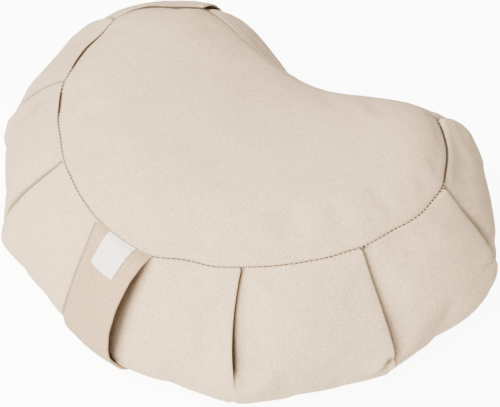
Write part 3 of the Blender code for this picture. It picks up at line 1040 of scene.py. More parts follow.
@dataclass
class RingLayout:
    """Where the points of each ring round the band lie, folds and panels.

    The points lie closer on the fine panel, where the cloth tucks beside a pleat's foot.
    """

    form: CushionForm
    fold: FoldSection = field(default_factory=FoldSection)
    spacing: float = 2.6 * MM
    fine_spacing: float = 1.3 * MM
    fine_panel: int = 3

    def __post_init__(self) -> None:
        """Counts the points of each panel, the same at every level."""
        width = (self.fold.cover_start + self.fold.covered_end) * MM
        starts = [pleat.along * MM for pleat in PLEATS]
        ends = starts[1:] + [starts[0] + self.form.seam.length]
        self.counts = [round((end - start - width) / self.spacing)
                       for start, end in zip(starts, ends)]
        fine = ends[self.fine_panel] - starts[self.fine_panel] - width
        self.counts[self.fine_panel] = round(fine / self.fine_spacing)
        self.columns = sum(self.counts) + len(PLEATS) * len(self.fold.rows)

    def at(self, level: float) -> RowPlan:
        """All points of the ring at a level.

        Args:
            level: how far down the band.

        Returns:
            The ring's points, in seam order.
        """
        folds = [self.fold.at(pleat, level) for pleat in PLEATS]
        first = folds[0].along[0] + self.form.seam.length
        rows: list[RowPlan] = []
        for i, count in enumerate(self.counts):
            following = folds[i + 1].along[0] if i + 1 < len(folds) else first
            panel = np.linspace(folds[i].along[-1], following, count + 2)[1:-1]
            rows += [folds[i], RowPlan(panel, 0 * panel, 0 * panel)]
        return RowPlan(*(np.concatenate(column) for column in zip(*rows)))

    def panel_of_column(self) -> Points:
        """Number of the panel that each column's cloth belongs to.

        Returns:
            A panel's number for each point of a ring.
        """
        number = []
        size = len(self.fold.rows)
        for i, (pleat, count) in enumerate(zip(PLEATS, self.counts)):
            turn = self.fold.turn if pleat.along > 0 else size - self.fold.turn
            number += [i - 1] * turn + [i] * (size - turn + count)
        return np.mod(number, len(PLEATS))


# ---- finishes --------------------------------------------------------------------------
class Nodes:
    """A short way to write a material's nodes."""

    def __init__(self, name: str) -> None:
        """Starts an empty material with a Principled shader.

        Args:
            name: the material's name.
        """
        self.material = bpy.data.materials.new(name)
        self.material.use_nodes = True
        self.tree = self.material.node_tree
        self.shader = self.tree.nodes["Principled BSDF"]

    def add(self, kind: str, inputs: dict[str | int, object] | None = None,
            **settings: object) -> bpy.types.Node:
        """Adds a node.

        Args:
            kind: its type.
            inputs: values or output sockets, by the input's name or number.
            settings: the node's own options.

        Returns:
            The node.
        """
        node = self.tree.nodes.new(kind)
        for key, value in settings.items():
            setattr(node, key, value)
        for key, value in (inputs or {}).items():
            if isinstance(value, bpy.types.NodeSocket):
                self.tree.links.new(value, node.inputs[key])
            else:
                node.inputs[key].default_value = value
        return node

    def math(self, operation: str, *values: object) -> bpy.types.NodeSocket:
        """Result of a sum on numbers or sockets."""
        return self.add("ShaderNodeMath", dict(enumerate(values)), operation=operation).outputs[0]

    def noise(self, vector: object, scale: float, detail: float = 2.0,
              rough: float = 0.5) -> bpy.types.NodeSocket:
        """Grey noise with a mean of one half.

        Args:
            vector: the socket that it is read at.
            scale: how fine it is.
            detail: how many finer layers it has.
            rough: how strong those are.

        Returns:
            The noise.
        """
        node = self.add("ShaderNodeTexNoise", {"Vector": vector, "Scale": scale, "Detail": detail,
                                               "Roughness": rough})
        return node.outputs[0]

    def ramp(self, value: bpy.types.NodeSocket, low: float, high: float) -> bpy.types.NodeSocket:
        """The value stretched so that low gives 0 and high gives 1, and cut there."""
        node = self.add("ShaderNodeMapRange", {"Value": value, "From Min": low, "From Max": high})
        return node.outputs[0]

    def mix(self, share: object, first: object, second: object) -> bpy.types.NodeSocket:
        """A colour between two.

        Args:
            share: 0 for the first colour, 1 for the second.
            first: a colour.
            second: a colour.

        Returns:
            The colour.
        """
        node = self.add("ShaderNodeMix", {"Factor": share, "A": first, "B": second},
                        data_type="RGBA")
        return node.outputs[2]

    def bump(self, height: object, depth: float, strength: float = 1.0,
             **under: bpy.types.NodeSocket) -> bpy.types.NodeSocket:
        """A normal that shows a height map of some depth, on top of another normal if given.

        Args:
            height: the height map.
            depth: how deep it is, in metres.
            strength: how much of it shows.
            under: the other normal, as Normal.

        Returns:
            The normal.
        """
        node = self.add("ShaderNodeBump", {"Strength": strength, "Distance": depth,
                                           "Height": height, **under})
        return node.outputs[0]

    def dress(self, **sockets: object) -> bpy.types.Material:
        """Sets or links the shader's own sockets and returns the material.

        Args:
            sockets: values or output sockets, by name, with _ for a space.

        Returns:
            The material.
        """
        for key, value in sockets.items():
            socket = self.shader.inputs[key.replace("_", " ")]
            if isinstance(value, bpy.types.NodeSocket):
                self.tree.links.new(value, socket)
            else:
                socket.default_value = value
        return self.material


def rgba(colour: Colour, times: float = 1.0) -> tuple[float, float, float, float]:
    """A colour with full cover, made lighter or darker."""
    return (*(min(1.0, c * times) for c in colour), 1.0)


class Tint(NamedTuple):
    """How a mark colours the cloth: how strongly, and how light beside the cloth's colour."""

    strength: float
    times: float


@dataclass(frozen=True)
class CanvasFinish:
    """Natural plain-weave cotton canvas, with slubs, flecks and uneven dye.

    grain, fuzz, rumple, slub, mottle, specks and wander, the sway of the yarns, are how fine
    those marks are, per metre. fleck is the colour of the specks, and inner is the colour of
    the painted shade that the shade attribute lays in seam grooves, folds and creases, on
    hidden cloth and beside the strap. dye_range and dark_grain are how light the dye and the
    pits of the grain are beside the cloth's colour. The gaps of the weave get a tint of
    painted shade. The heights are shares of weave_depth.
    """

    name: str
    colour: Colour
    pitch: float = 0.85 * MM
    weave_depth: float = 0.58 * MM
    rumple_depth: float = 1.2 * MM
    grain: float = 640.0
    fuzz: float = 900.0
    rumple: float = 80.0
    slub: float = 800.0
    mottle: float = 15.0
    specks: float = 520.0
    wander: float = 160.0
    wander_turn: float = 3.0
    fleck: Colour = (0.36, 0.25, 0.15)
    fleck_strength: float = 0.55
    painted_shade_colour: Colour = (0.15, 0.115, 0.085)
    dye_range: tuple[float, float] = (0.95, 1.05)
    dark_grain: float = 0.62
    light_grain: Tint = Tint(0.75, 1.29)
    thick_yarn: Tint = Tint(0.35, 1.18)
    cross_yarn: Tint = Tint(0.30, 0.80)
    weave_gap_painted_shade: Tint = Tint(0.12, 0.70)
    weave_height: float = 0.45
    yarn_height: float = 0.7
    fibre_height: float = 0.8

    def material(self) -> bpy.types.Material:
        """The weave follows the piece's own map of the flat cloth, in metres.

        Returns:
            The material.
        """
        n = Nodes(self.name)
        place = n.add("ShaderNodeUVMap", uv_map="UVMap").outputs[0]
        solid = n.add("ShaderNodeTexCoord").outputs["Object"]
        weave, yarns = self.threads(n, place)
        grain = n.noise(solid, self.grain, detail=3.0, rough=0.75)
        base = self.dye_and_painted_shade(n, solid, weave, yarns, grain)
        fuzz = n.noise(solid, self.fuzz, detail=3.0, rough=0.7)
        height = n.math("ADD", n.math("MULTIPLY", weave, self.weave_height),
                        n.math("MULTIPLY", yarns, self.yarn_height))
        fibres = n.math("MULTIPLY", n.math("ADD", fuzz, grain), self.fibre_height)
        bump = n.bump(n.math("ADD", height, fibres), self.weave_depth)
        swells = n.noise(solid, self.rumple, detail=3.0)
        rumple = n.bump(swells, self.rumple_depth, strength=0.45, Normal=bump)
        return n.dress(Base_Color=base, Normal=rumple, Roughness=0.92, Sheen_Weight=0.12,
                       Sheen_Roughness=0.5, Specular_IOR_Level=0.15)

    def threads(self, n: Nodes, place: bpy.types.NodeSocket) -> tuple[bpy.types.NodeSocket,
                                                                     bpy.types.NodeSocket]:
        """The chequer of the weave, and thicker yarns both ways of the cloth.

        Args:
            n: the material's nodes.
            place: the place on the flat cloth.

        Returns:
            The chequer, and how thick the yarns are, below 0 for those across.
        """
        split = n.add("ShaderNodeSeparateXYZ", {"Vector": place})
        turn = math.pi / self.pitch
        sway = n.math("SUBTRACT", n.noise(place, self.wander, detail=2.0), 0.5)
        shift = n.math("MULTIPLY", sway, self.wander_turn)
        warp = n.math("SINE", n.math("ADD", n.math("MULTIPLY", split.outputs[0], turn), shift))
        weft = n.math("SINE", n.math("SUBTRACT", n.math("MULTIPLY", split.outputs[1], turn),
                                     shift))
        along, across = (n.add("ShaderNodeMapping", {"Vector": place, "Scale": size}).outputs[0]
                         for size in ((0.10, 1.0, 1.0), (1.0, 0.10, 1.0)))
        slubs = n.ramp(n.noise(along, self.slub, detail=1.0), low=0.52, high=0.78)
        ribs = n.ramp(n.noise(across, self.slub, detail=1.0), low=0.56, high=0.82)
        return n.math("MULTIPLY", warp, weft), n.math("SUBTRACT", slubs, ribs)

    def dye_and_painted_shade(self, n: Nodes, solid: bpy.types.NodeSocket, weave: bpy.types.NodeSocket,
            yarns: bpy.types.NodeSocket, grain: bpy.types.NodeSocket) -> bpy.types.NodeSocket:
        """Colour of the cloth: mottled, grainy, lighter on thick yarns, with dark flecks, and
        painted shade in the gaps of the weave and where the shade attribute lays it.

        Args:
            n: the material's nodes.
            solid: the place in space.
            weave: the chequer of the weave.
            yarns: how thick the yarns are.
            grain: the fine noise of the fibres.

        Returns:
            The colour.
        """
        mottle = n.ramp(n.noise(solid, self.mottle, detail=3.0, rough=0.6), low=0.3, high=0.7)
        base = n.mix(mottle, *(rgba(self.colour, times) for times in self.dye_range))
        base = n.mix(n.ramp(grain, low=0.30, high=0.52), rgba(self.colour, self.dark_grain), base)
        base = self.tinted(n, base, n.ramp(grain, low=0.52, high=0.74), self.light_grain)
        base = self.tinted(n, base, n.math("MAXIMUM", yarns, 0.0), self.thick_yarn)
        across = n.math("MAXIMUM", n.math("MULTIPLY", yarns, -1.0), 0.0)
        base = self.tinted(n, base, across, self.cross_yarn)
        specks = n.ramp(n.noise(solid, self.specks, detail=2.0, rough=0.7), low=0.38, high=0.24)
        base = n.mix(n.math("MULTIPLY", specks, self.fleck_strength), base, rgba(self.fleck))
        # Painted shade in the gaps between the yarns.
        gaps = n.math("SUBTRACT", 1.0, n.math("ABSOLUTE", weave))
        base = self.tinted(n, base, gaps, self.weave_gap_painted_shade)
        # Painted shade: the shade attribute mixes in the dark colour of painted shade.
        depth = n.add("ShaderNodeAttribute", attribute_name=SHADE).outputs["Fac"]
        return n.mix(depth, base, rgba(self.painted_shade_colour))

    def tinted(self, n: Nodes, base: bpy.types.NodeSocket, mark: bpy.types.NodeSocket,
               tint: Tint) -> bpy.types.NodeSocket:
        """The colour with a mark's tint over it."""
        strength = n.math("MULTIPLY", mark, tint.strength)
        return n.mix(strength, base, rgba(self.colour, tint.times))


@dataclass(frozen=True)
class ThreadFinish:
    """Twisted sewing thread."""

    name: str
    colour: Colour
    twist: float = 2600.0
    ply_depth: float = 0.05 * MM

    def material(self) -> bpy.types.Material:
        """The plies show as fine noise in the piece's own space.

        Returns:
            The material.
        """
        n = Nodes(self.name)
        solid = n.add("ShaderNodeTexCoord").outputs["Object"]
        plies = n.noise(solid, self.twist, detail=1.0)
        shade = n.mix(n.ramp(plies, low=0.35, high=0.65), rgba(self.colour, times=0.88),
                      rgba(self.colour, times=1.05))
        bump = n.bump(plies, self.ply_depth, strength=0.6)
        return n.dress(Base_Color=shade, Normal=bump, Roughness=0.7, Sheen_Weight=0.1)


@dataclass(frozen=True)
class TapeFinish:
    """White woven tape of the bare label, ribbed across.

    Its threads run down it, thread_rate to a rib, and thread_height of a rib high. fuzz is
    how fine its uneven tone is, per metre.
    """

    name: str
    colour: Colour
    pitch: float = 0.45 * MM
    rib_depth: float = 0.06 * MM
    thread_rate: float = 1.4
    thread_height: float = 0.4
    fuzz: float = 900.0

    def material(self) -> bpy.types.Material:
        """Fine ribs across the tape, and a faint satin face.

        Returns:
            The material.
        """
        n = Nodes(self.name)
        place = n.add("ShaderNodeUVMap", uv_map="UVMap").outputs[0]
        split = n.add("ShaderNodeSeparateXYZ", {"Vector": place})
        turn = 2 * math.pi / self.pitch
        ribs = n.math("SINE", n.math("MULTIPLY", split.outputs[1], turn))
        threads = n.math("SINE", n.math("MULTIPLY", split.outputs[0], turn * self.thread_rate))
        height = n.math("ADD", ribs, n.math("MULTIPLY", threads, self.thread_height))
        fuzz = n.noise(place, self.fuzz, detail=2.0)
        tone = n.mix(n.ramp(fuzz, low=0.3, high=0.7), rgba(self.colour, times=0.97),
                     rgba(self.colour, times=1.02))
        bump = n.bump(height, self.rib_depth, strength=0.5)
        return n.dress(Base_Color=tone, Normal=bump, Roughness=0.6, Sheen_Weight=0.1)


@dataclass(frozen=True)
class FloorFinish:
    """Plain white studio floor, burnt out as in a high-key photograph."""

    name: str = "studio_floor"
    colour: Colour = (0.93, 0.93, 0.93)
    glare: float = 9.0

    def material(self) -> bpy.types.Material:
        """Even and matt, with a glare that only the camera sees and that lights nothing.

        Returns:
            The material.
        """
        n = Nodes(self.name)
        seen = n.add("ShaderNodeLightPath").outputs["Is Camera Ray"]
        glare = n.math("MULTIPLY", seen, self.glare)
        return n.dress(Base_Color=rgba(self.colour), Roughness=0.9, Emission_Strength=glare,
                       Emission_Color=rgba((1.0, 1.0, 1.0)))


CANVAS = CanvasFinish("natural_canvas", (0.78, 0.60, 0.425))
STRAP_CANVAS = CanvasFinish("strap_canvas", (0.555, 0.405, 0.265), pitch=0.8 * MM)
SEWING_THREAD = ThreadFinish("sewing_thread", (0.66, 0.50, 0.35))
LABEL_TAPE = TapeFinish("label_tape", (0.94, 0.97, 1.0))


# ---- the pieces ------------------------------------------------------------------------
class EdgeShade(NamedTuple):
    """Painted shade beside a strap edge: how dark, how far in metres, how sharply it ends."""

    dark: float
    reach: float
    power: float

    def at(self, beside: Points) -> Points:
        """The shade at distances from the edge."""
        return self.dark * np.exp(-(np.maximum(beside, 0) / self.reach) ** self.power)


class RimRing(NamedTuple):
    """A ring inside or beside the top seam: its level, its drop in mm and its painted shade."""

    level: float
    drop: float
    shade: float


BAND_RIM = tuple(starmap(RimRing, (
    (0.0, 3.0, 1.0), (0.0, 2.2, 1.0), (0.0, 1.4, 1.0), (0.0, 0.7, 1.0), (0.003, 0.28, 0.75),
    (0.008, 0.08, 0.3), (0.015, 0.02, 0.08), (0.025, 0.0, 0.0),
)))


@dataclass
class SideBand:
    """The filled body: the pleated band, with a bed for each panel inside its seams.

    Levels and shares of levels run down the band from the top seam. The strap's painted
    shadow shows between shade_start and shade_end. A gap in the seam wider than gape_from
    gets painted shade on the band's edge, fully from gape_full. The creases' levels count as
    level_scale metres.
    """

    form: CushionForm
    filling: FillingPressure
    layout: RingLayout
    strap: CarryStrap
    bed: float = 4.5 * MM
    bed_rows: int = 10
    top_bed: tuple[float, float] = (0.9, 0.06)
    sole_bed: Sequence[float] = (0.06, 0.2, 0.5, 0.9)
    rim_bed: float = 3.3 * MM
    groove: float = 0.5 * MM
    strap_clear: tuple[float, float] = (-40 * MM, 36 * MM)
    strap_edge: float = 12 * MM
    left_shade: EdgeShade = EdgeShade(0.92, 5.2 * MM, 6)
    right_shade: EdgeShade = EdgeShade(0.95, 3.6 * MM, 1.5)
    shade_start: float = 0.08
    shade_end: float = 1.25
    shade_fade: float = 0.15
    shade_inset: float = 2.5 * MM
    inset_end: float = 0.7
    rim_reach: float = 0.038
    seam_pull: float = 1.1 * MM
    pull_reach: float = 0.035
    gap_reach: float = 0.05
    lip_reach: float = 0.08
    top_hold: float = 0.12
    foot_hold: float = 0.1
    upper_rows: int = 40
    upper_power: float = 1.1
    lower_rows: int = 26
    lower_power: float = 1.3
    last_level: float = 1.985
    uneven: float = 0.9 * MM
    uneven_scale: float = 38 * MM
    level_scale: float = 0.1
    gape_from: float = 1.5 * MM
    gape_full: float = 3.0 * MM
    gape_dark: float = 0.7
    gape_reach: float = 0.014
    panel_shift: float = 0.31

    def levels(self) -> Points:
        """Levels of the rings, closer together near the seam.

        Returns:
            The levels, from the rim of the top seam to the bottom.
        """
        upper = np.linspace(0, 1, self.upper_rows) ** self.upper_power
        lower = 1 + np.linspace(0.0, 1.0, self.lower_rows)[1:-1] ** self.lower_power
        upper = self.rim_reach + (1 - self.rim_reach) * upper
        return np.concatenate([upper, lower, [self.last_level]])

    def face_plan(self) -> list[RimRing]:
        """The rings of the band's face, from inside the seam to the bottom."""
        return [*BAND_RIM, *(RimRing(level, 0.0, 0.0) for level in self.levels())]

    def contact_shade(self, along: Points, level: float) -> Points:
        """Painted shadow on the band under the strap and beside its edges.

        Args:
            along: places along the seam.
            level: how far down the band.

        Returns:
            The painted shade, from 0 to 1.
        """
        place = self.form.seam.offset(along, 0.0)
        left, right = (float(edge[0]) for edge in self.strap.edges(np.array([level])))
        right -= self.shade_inset * max(0.0, 1 - level / self.inset_end)
        shade = np.where(place < 0, self.left_shade.at(left - place),
                         self.right_shade.at(place - right))
        starts = smooth_step(level / self.shade_start)
        return float(starts * smooth_step((self.shade_end - level) / self.shade_fade)) * shade

    def nearness(self, crease: Crease, along: Points, level: float) -> Points:
        """1 on a crease's line, falling softly to 0 beside it.

        Args:
            crease: the crease.
            along: places along the seam.
            level: how far down the band.

        Returns:
            How near each place is.
        """
        start = np.array([crease.along_from * MM, crease.level_from * self.level_scale])
        end = np.array([crease.along_to * MM, crease.level_to * self.level_scale])
        offset = self.form.seam.offset(along, start[0])
        down = np.full(len(along), level * self.level_scale)
        place = np.stack([offset, down - start[1]], axis=-1)
        run = end - start
        t = np.clip(place @ run / (run @ run), 0, 1)
        away = np.linalg.norm(place - t[:, None] * run, axis=-1)
        return np.exp(-(away / (crease.width * MM)) ** 2)

    def creased(self, along: Points, level: float) -> Points:
        """Lift of the listed creases at one ring."""
        return -sum(c.depth * MM * self.nearness(c, along, level) for c in CREASES)

    def crease_shade(self, along: Points, level: float) -> Points:
        """Painted shade in the bottom of the creases that have one."""
        shaded = [c for c in CREASES if c.shade]
        return np.max([c.shade * self.nearness(c, along, level) ** 2 for c in shaded], axis=0)

    def gape_shade(self, along: Points, level: float) -> Points:
        """Painted shade that a wide gap in the top seam lays on the band's edge.

        Args:
            along: places along the seam.
            level: how far down the band.

        Returns:
            The painted shade, from 0 to 1.
        """
        over = self.form.gap(along) - self.gape_from
        wide = np.clip(over / (self.gape_full - self.gape_from), 0, 1)
        return wide * self.gape_dark * math.exp(-level / self.gape_reach)

    def ring(self, level: float, drop: float = 0.0) -> Points:
        """One ring of the band's face.

        Args:
            level: how far down the band.
            drop: how far it lies straight below the face, inside the seam, in mm.

        Returns:
            Its points, drawn in to the seam and lifted over its lip.
        """
        along, lift, _ = self.layout.at(level)
        skin = self.form.skin(along, level)
        away = min(1.0, level / self.top_hold, (2 - level) / self.foot_hold)
        half = self.form.gap(along)[:, None] / 2 * math.exp(-level / self.gap_reach)
        edge = self.form.lip(along) * math.exp(-((level / self.lip_reach) ** 2))
        pull = self.seam_pull * math.exp(-level / self.pull_reach)
        rough = self.creased(along, level) + unevenness(skin, self.uneven_scale, self.uneven)
        lifted = self.form.skin_normal(along, level) * (lift + edge - pull + away * rough)[:, None]
        given = self.filling.at(skin) * (away * self.free_of_strap(along))[:, None]
        return skin + self.form.seam.out(along) * half + lifted + given - UP * (drop * MM)

    def free_of_strap(self, along: Points) -> Points:
        """0 under the strap, 1 away from it.

        Args:
            along: places along the seam.

        Returns:
            How free each place is.
        """
        place = self.form.seam.offset(along, 0.0)
        left, right = self.strap_clear
        beside = np.maximum(left - place, place - right)
        return smooth_step(beside / self.strap_edge)

    def beds(self) -> tuple[list[Points], list[Points]]:
        """Rings that lie under the top panel and over the bottom one.

        Returns:
            The rings of the upper bed, and those of the lower one.
        """
        along = self.layout.at(0.0).along
        inset = self.form.seam.out(along) * self.groove
        top = []
        for share in np.linspace(*self.top_bed, self.bed_rows):
            skin = self.form.crown(along, share)
            top.append(skin + self.filling.at(skin) - UP * self.bed)
        top.append(self.form.crown(along, 0.0) - inset - UP * self.rim_bed)
        sole = [self.form.sole(along, 0.0) - inset + UP * self.rim_bed]
        sole += [self.form.sole(along, share) + UP * self.bed for share in self.sole_bed]
        return top, sole

    def cloth_map(self, rings: Sequence[Points]) -> Points:
        """Place on the flat cloth of each ring point, panel by panel.

        Args:
            rings: the rings of the whole body.

        Returns:
            A cloth position for each ring point, and one that closes each ring.
        """
        points = np.array(rings)
        closed = np.concatenate([points, points[:, :1]], axis=1)
        across = running_length(closed.transpose(1, 0, 2)).T
        down = running_length(closed)
        number = np.append(self.layout.panel_of_column(), len(PLEATS) - 1)
        number[: self.layout.fold.turn] = number[0]
        cloth = np.zeros(closed.shape[:2] + (2,))
        for panel in range(len(PLEATS)):
            columns = np.where(number == panel)[0]
            middle = columns[len(columns) // 2]
            shift = panel * self.panel_shift - across[:, middle:middle + 1]
            cloth[:, columns, 0] = across[:, columns] + shift
            cloth[:, columns, 1] = down[:, [middle]]
        return cloth

    def build(self) -> bpy.types.Object:
        """Makes the piece.

        Returns:
            The piece's object.
        """
        top, sole = self.beds()
        plan = self.face_plan()
        rings = top + [self.ring(level, drop) for level, drop, _ in plan] + sole
        # Painted shade: full on the hidden beds, and on the face the darkest of the painted shade
        # of the folds, seam groove, strap, creases and seam gap.
        shade = np.ones((len(rings), self.layout.columns))
        for row, (level, _, groove) in enumerate(plan, start=len(top)):
            along, _, fold_shade = self.layout.at(level)
            shade[row] = np.max([fold_shade, np.full(len(along), groove)] + [
                shade_at(along, level)
                for shade_at in (self.contact_shade, self.crease_shade, self.gape_shade)], axis=0)
        band = RingMesh(rings, self.cloth_map(rings), shade).build("pleated_band")
        band.data.materials.append(CANVAS.material())
        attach(band, BODY)
        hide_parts("side_band")
        return band


@dataclass
class TopPanel:
    """The crowned top of canvas, its edge turned down into the seam.

    Shares run inwards from the seam to the crown's middle line. The seam pulls the cloth
    down beside it, and less by back_slack where the way out points back: from slack_from on,
    over slack_width of that way's Y. A row of the rim is its inset and its drop, in mm, and
    its painted shade.
    """

    form: CushionForm
    filling: FillingPressure
    sheet: float = 2.0 * MM
    spacing: float = 2.6 * MM
    rows: int = 42
    row_power: float = 1.35
    under_rows: int = 24
    first_share: float = 0.012
    last_share: float = 0.97
    rim_rows: Sequence[tuple[float, float, float]] = (
        (0.30, 2.4, 1.0), (0.10, 2.0, 1.0), (0.0, 1.6, 0.8), (0.10, 1.25, 0.35),
        (0.45, 0.95, 0.08),
    )
    seam_pull: float = 1.2 * MM
    pull_reach: float = 0.035
    seam_hold: float = 0.12
    back_slack: float = 0.9
    slack_from: float = -0.2
    slack_width: float = 0.8
    uneven: float = 1.0 * MM
    uneven_scale: float = 45 * MM

    def slack(self, out: Points) -> Points:
        """Share of the seam's pull that is missing, by the way out from the cushion."""
        return self.back_slack * smooth_step((out[:, 1] - self.slack_from) / self.slack_width)

    def rim(self, along: Points) -> list[Points]:
        """Rings of the panel's edge, from inside the groove up on to the face.

        Args:
            along: places along the seam.

        Returns:
            The rings, the deepest first.
        """
        half = self.form.gap(along)[:, None] / 2
        out = self.form.seam.out(along)
        edge = self.form.crown(along, 0.0)
        edge[:, 2] += self.seam_pull * self.slack(out)
        return [edge - out * (half + inset * MM) - UP * (drop * MM)
                for inset, drop, _ in self.rim_rows]

    def face(self, along: Points, share: float) -> Points:
        """A ring of the panel's face.

        Args:
            along: places along the seam.
            share: 0 at the seam, 1 at the crown's middle line.

        Returns:
            The ring's points.
        """
        skin = self.form.crown(along, share)
        away = min(1.0, share / self.seam_hold)
        near = math.exp(-share / self.pull_reach)
        out = self.form.seam.out(along)
        drawn = out * (self.form.gap(along)[:, None] / 2 * near)
        pull = self.seam_pull * near * (1 - self.slack(out))
        lift = away * unevenness(skin, self.uneven_scale, self.uneven) - pull
        return skin - drawn + UP * lift[:, None] + self.filling.at(skin) * away

    def build(self) -> bpy.types.Object:
        """Makes the piece.

        Returns:
            The piece's object.
        """
        along = self.form.seam.places(self.spacing)
        steps = np.linspace(0, 1, self.rows) ** self.row_power
        shares = self.first_share + (self.last_share - self.first_share) * steps
        face = [self.face(along, share) for share in shares]
        back = [self.face(along, share) - UP * self.sheet
                for share in np.linspace(self.last_share, self.first_share, self.under_rows)]
        rings = face[::-1] + self.rim(along)[::-1] + back[::-1]
        # Painted shade: full on the hidden underside, and in the seam's groove by the rows of the
        # rim.
        shade = np.zeros((len(rings), len(along)))
        shade[len(face):] = 1.0
        for row, (_, _, groove) in enumerate(self.rim_rows[::-1], start=len(face)):
            shade[row] = groove
        panel = RingMesh(rings, shade=shade).build("crown_panel")
        plan_cloth(panel)
        panel.data.materials.append(CANVAS.material())
        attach(panel, BODY)
        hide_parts("top_panel")
        return panel


@dataclass
class BottomPanel:
    """The flat sole of canvas, its rim turned up to the bottom seam.

    Shares run inwards from the seam. A row of the rim is its inset and its lift, in mm.
    """

    form: CushionForm
    sheet: float = 2.0 * MM
    spacing: float = 4.0 * MM
    rim_rows: Sequence[tuple[float, float]] = ((1.3, 0.0), (0.9, 0.3), (0.8, 0.9), (0.9, 2.0))
    face_shares: Sequence[float] = (0.95, 0.8, 0.65, 0.5, 0.4, 0.35, 0.29, 0.23, 0.18, 0.13,
                                    0.09, 0.05, 0.02)
    back_shares: Sequence[float] = (0.03, 0.1, 0.2, 0.35, 0.9)

    def build(self) -> bpy.types.Object:
        """Makes the piece.

        Returns:
            The piece's object.
        """
        along = self.form.seam.places(self.spacing)
        out = self.form.seam.out(along)
        edge = self.form.sole(along, 0.0)
        rim = [edge - out * inset * MM + UP * lift * MM for inset, lift in self.rim_rows]
        face = [self.form.sole(along, share) for share in self.face_shares]
        back = [self.form.sole(along, share) + UP * self.sheet for share in self.back_shares]
        panel = RingMesh(face + rim + back).build("sole_panel")
        plan_cloth(panel)
        panel.data.materials.append(CANVAS.material())
        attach(panel, BODY)
        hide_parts("bottom_panel")
        return panel


@dataclass(frozen=True)
class Stitch:
    """One stitch: its middle, its run along the thread, and the way off the cloth."""

    middle: Points
    run: Points
    up: Points
    length: float
    thickness: float

    def add_to(self, mesh: bmesh.types.BMesh) -> None:
        """Adds a small rounded length of thread.

        Args:
            mesh: the mesh of the whole line of sewing.
        """
        x = Vector(self.run).normalized()
        y = Vector(self.up).normalized().cross(x).normalized()
        axes = Matrix((x, y, x.cross(y))).transposed().to_4x4()
        size = Matrix.Diagonal((self.length / 2, self.thickness / 2, self.thickness / 2, 1.0))
        lying = Matrix.Rotation(math.pi / 2, 4, "Y")
        bmesh.ops.create_uvsphere(mesh, u_segments=6, v_segments=4, radius=1.0,
                                  matrix=Matrix.Translation(self.middle) @ axes @ size @ lying)


def stitch_piece(name: str, stitches: Sequence[Stitch]) -> bpy.types.Object:
    """All stitches of one line of sewing as a piece of their own.

    Args:
        name: the piece's name.
        stitches: the stitches.

    Returns:
        The piece's object.
    """
    mesh = bmesh.new()
    for stitch in stitches:
        stitch.add_to(mesh)
    thing = finished_object(name, mesh)
    thing.data.materials.append(SEWING_THREAD.material())
    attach(thing, BODY)
    return thing


@dataclass
class SeamSewing:
    """The thread that shows as bars across the groove of the top seam.

    It lies deeper the wider the groove opens past narrow, by wide_depth times as much, and
    past the bare width it lies too deep to show.
    """

    form: CushionForm
    pitch: float = 3.9 * MM
    overlap: float = 1.2 * MM
    thickness: float = 1.0 * MM
    depth: float = 1.2 * MM
    narrow: float = 1.5 * MM
    wide_depth: float = 3.0
    bare: float = 1.9 * MM

    def build(self) -> bpy.types.Object:
        """Makes the piece.

        Returns:
            The piece's object.
        """
        along = self.form.seam.places(self.pitch)
        gap = self.form.gap(along)
        deep = self.depth + self.wide_depth * np.maximum(gap - self.narrow, 0)
        place = self.form.skin(along, 0.0) - UP * deep[:, None]
        out = self.form.seam.out(along)
        stitches = [Stitch(place[i], out[i], UP, gap[i] + self.overlap, self.thickness)
                    for i in np.flatnonzero(gap < self.bare)]
        return stitch_piece("seam_stitches", stitches)


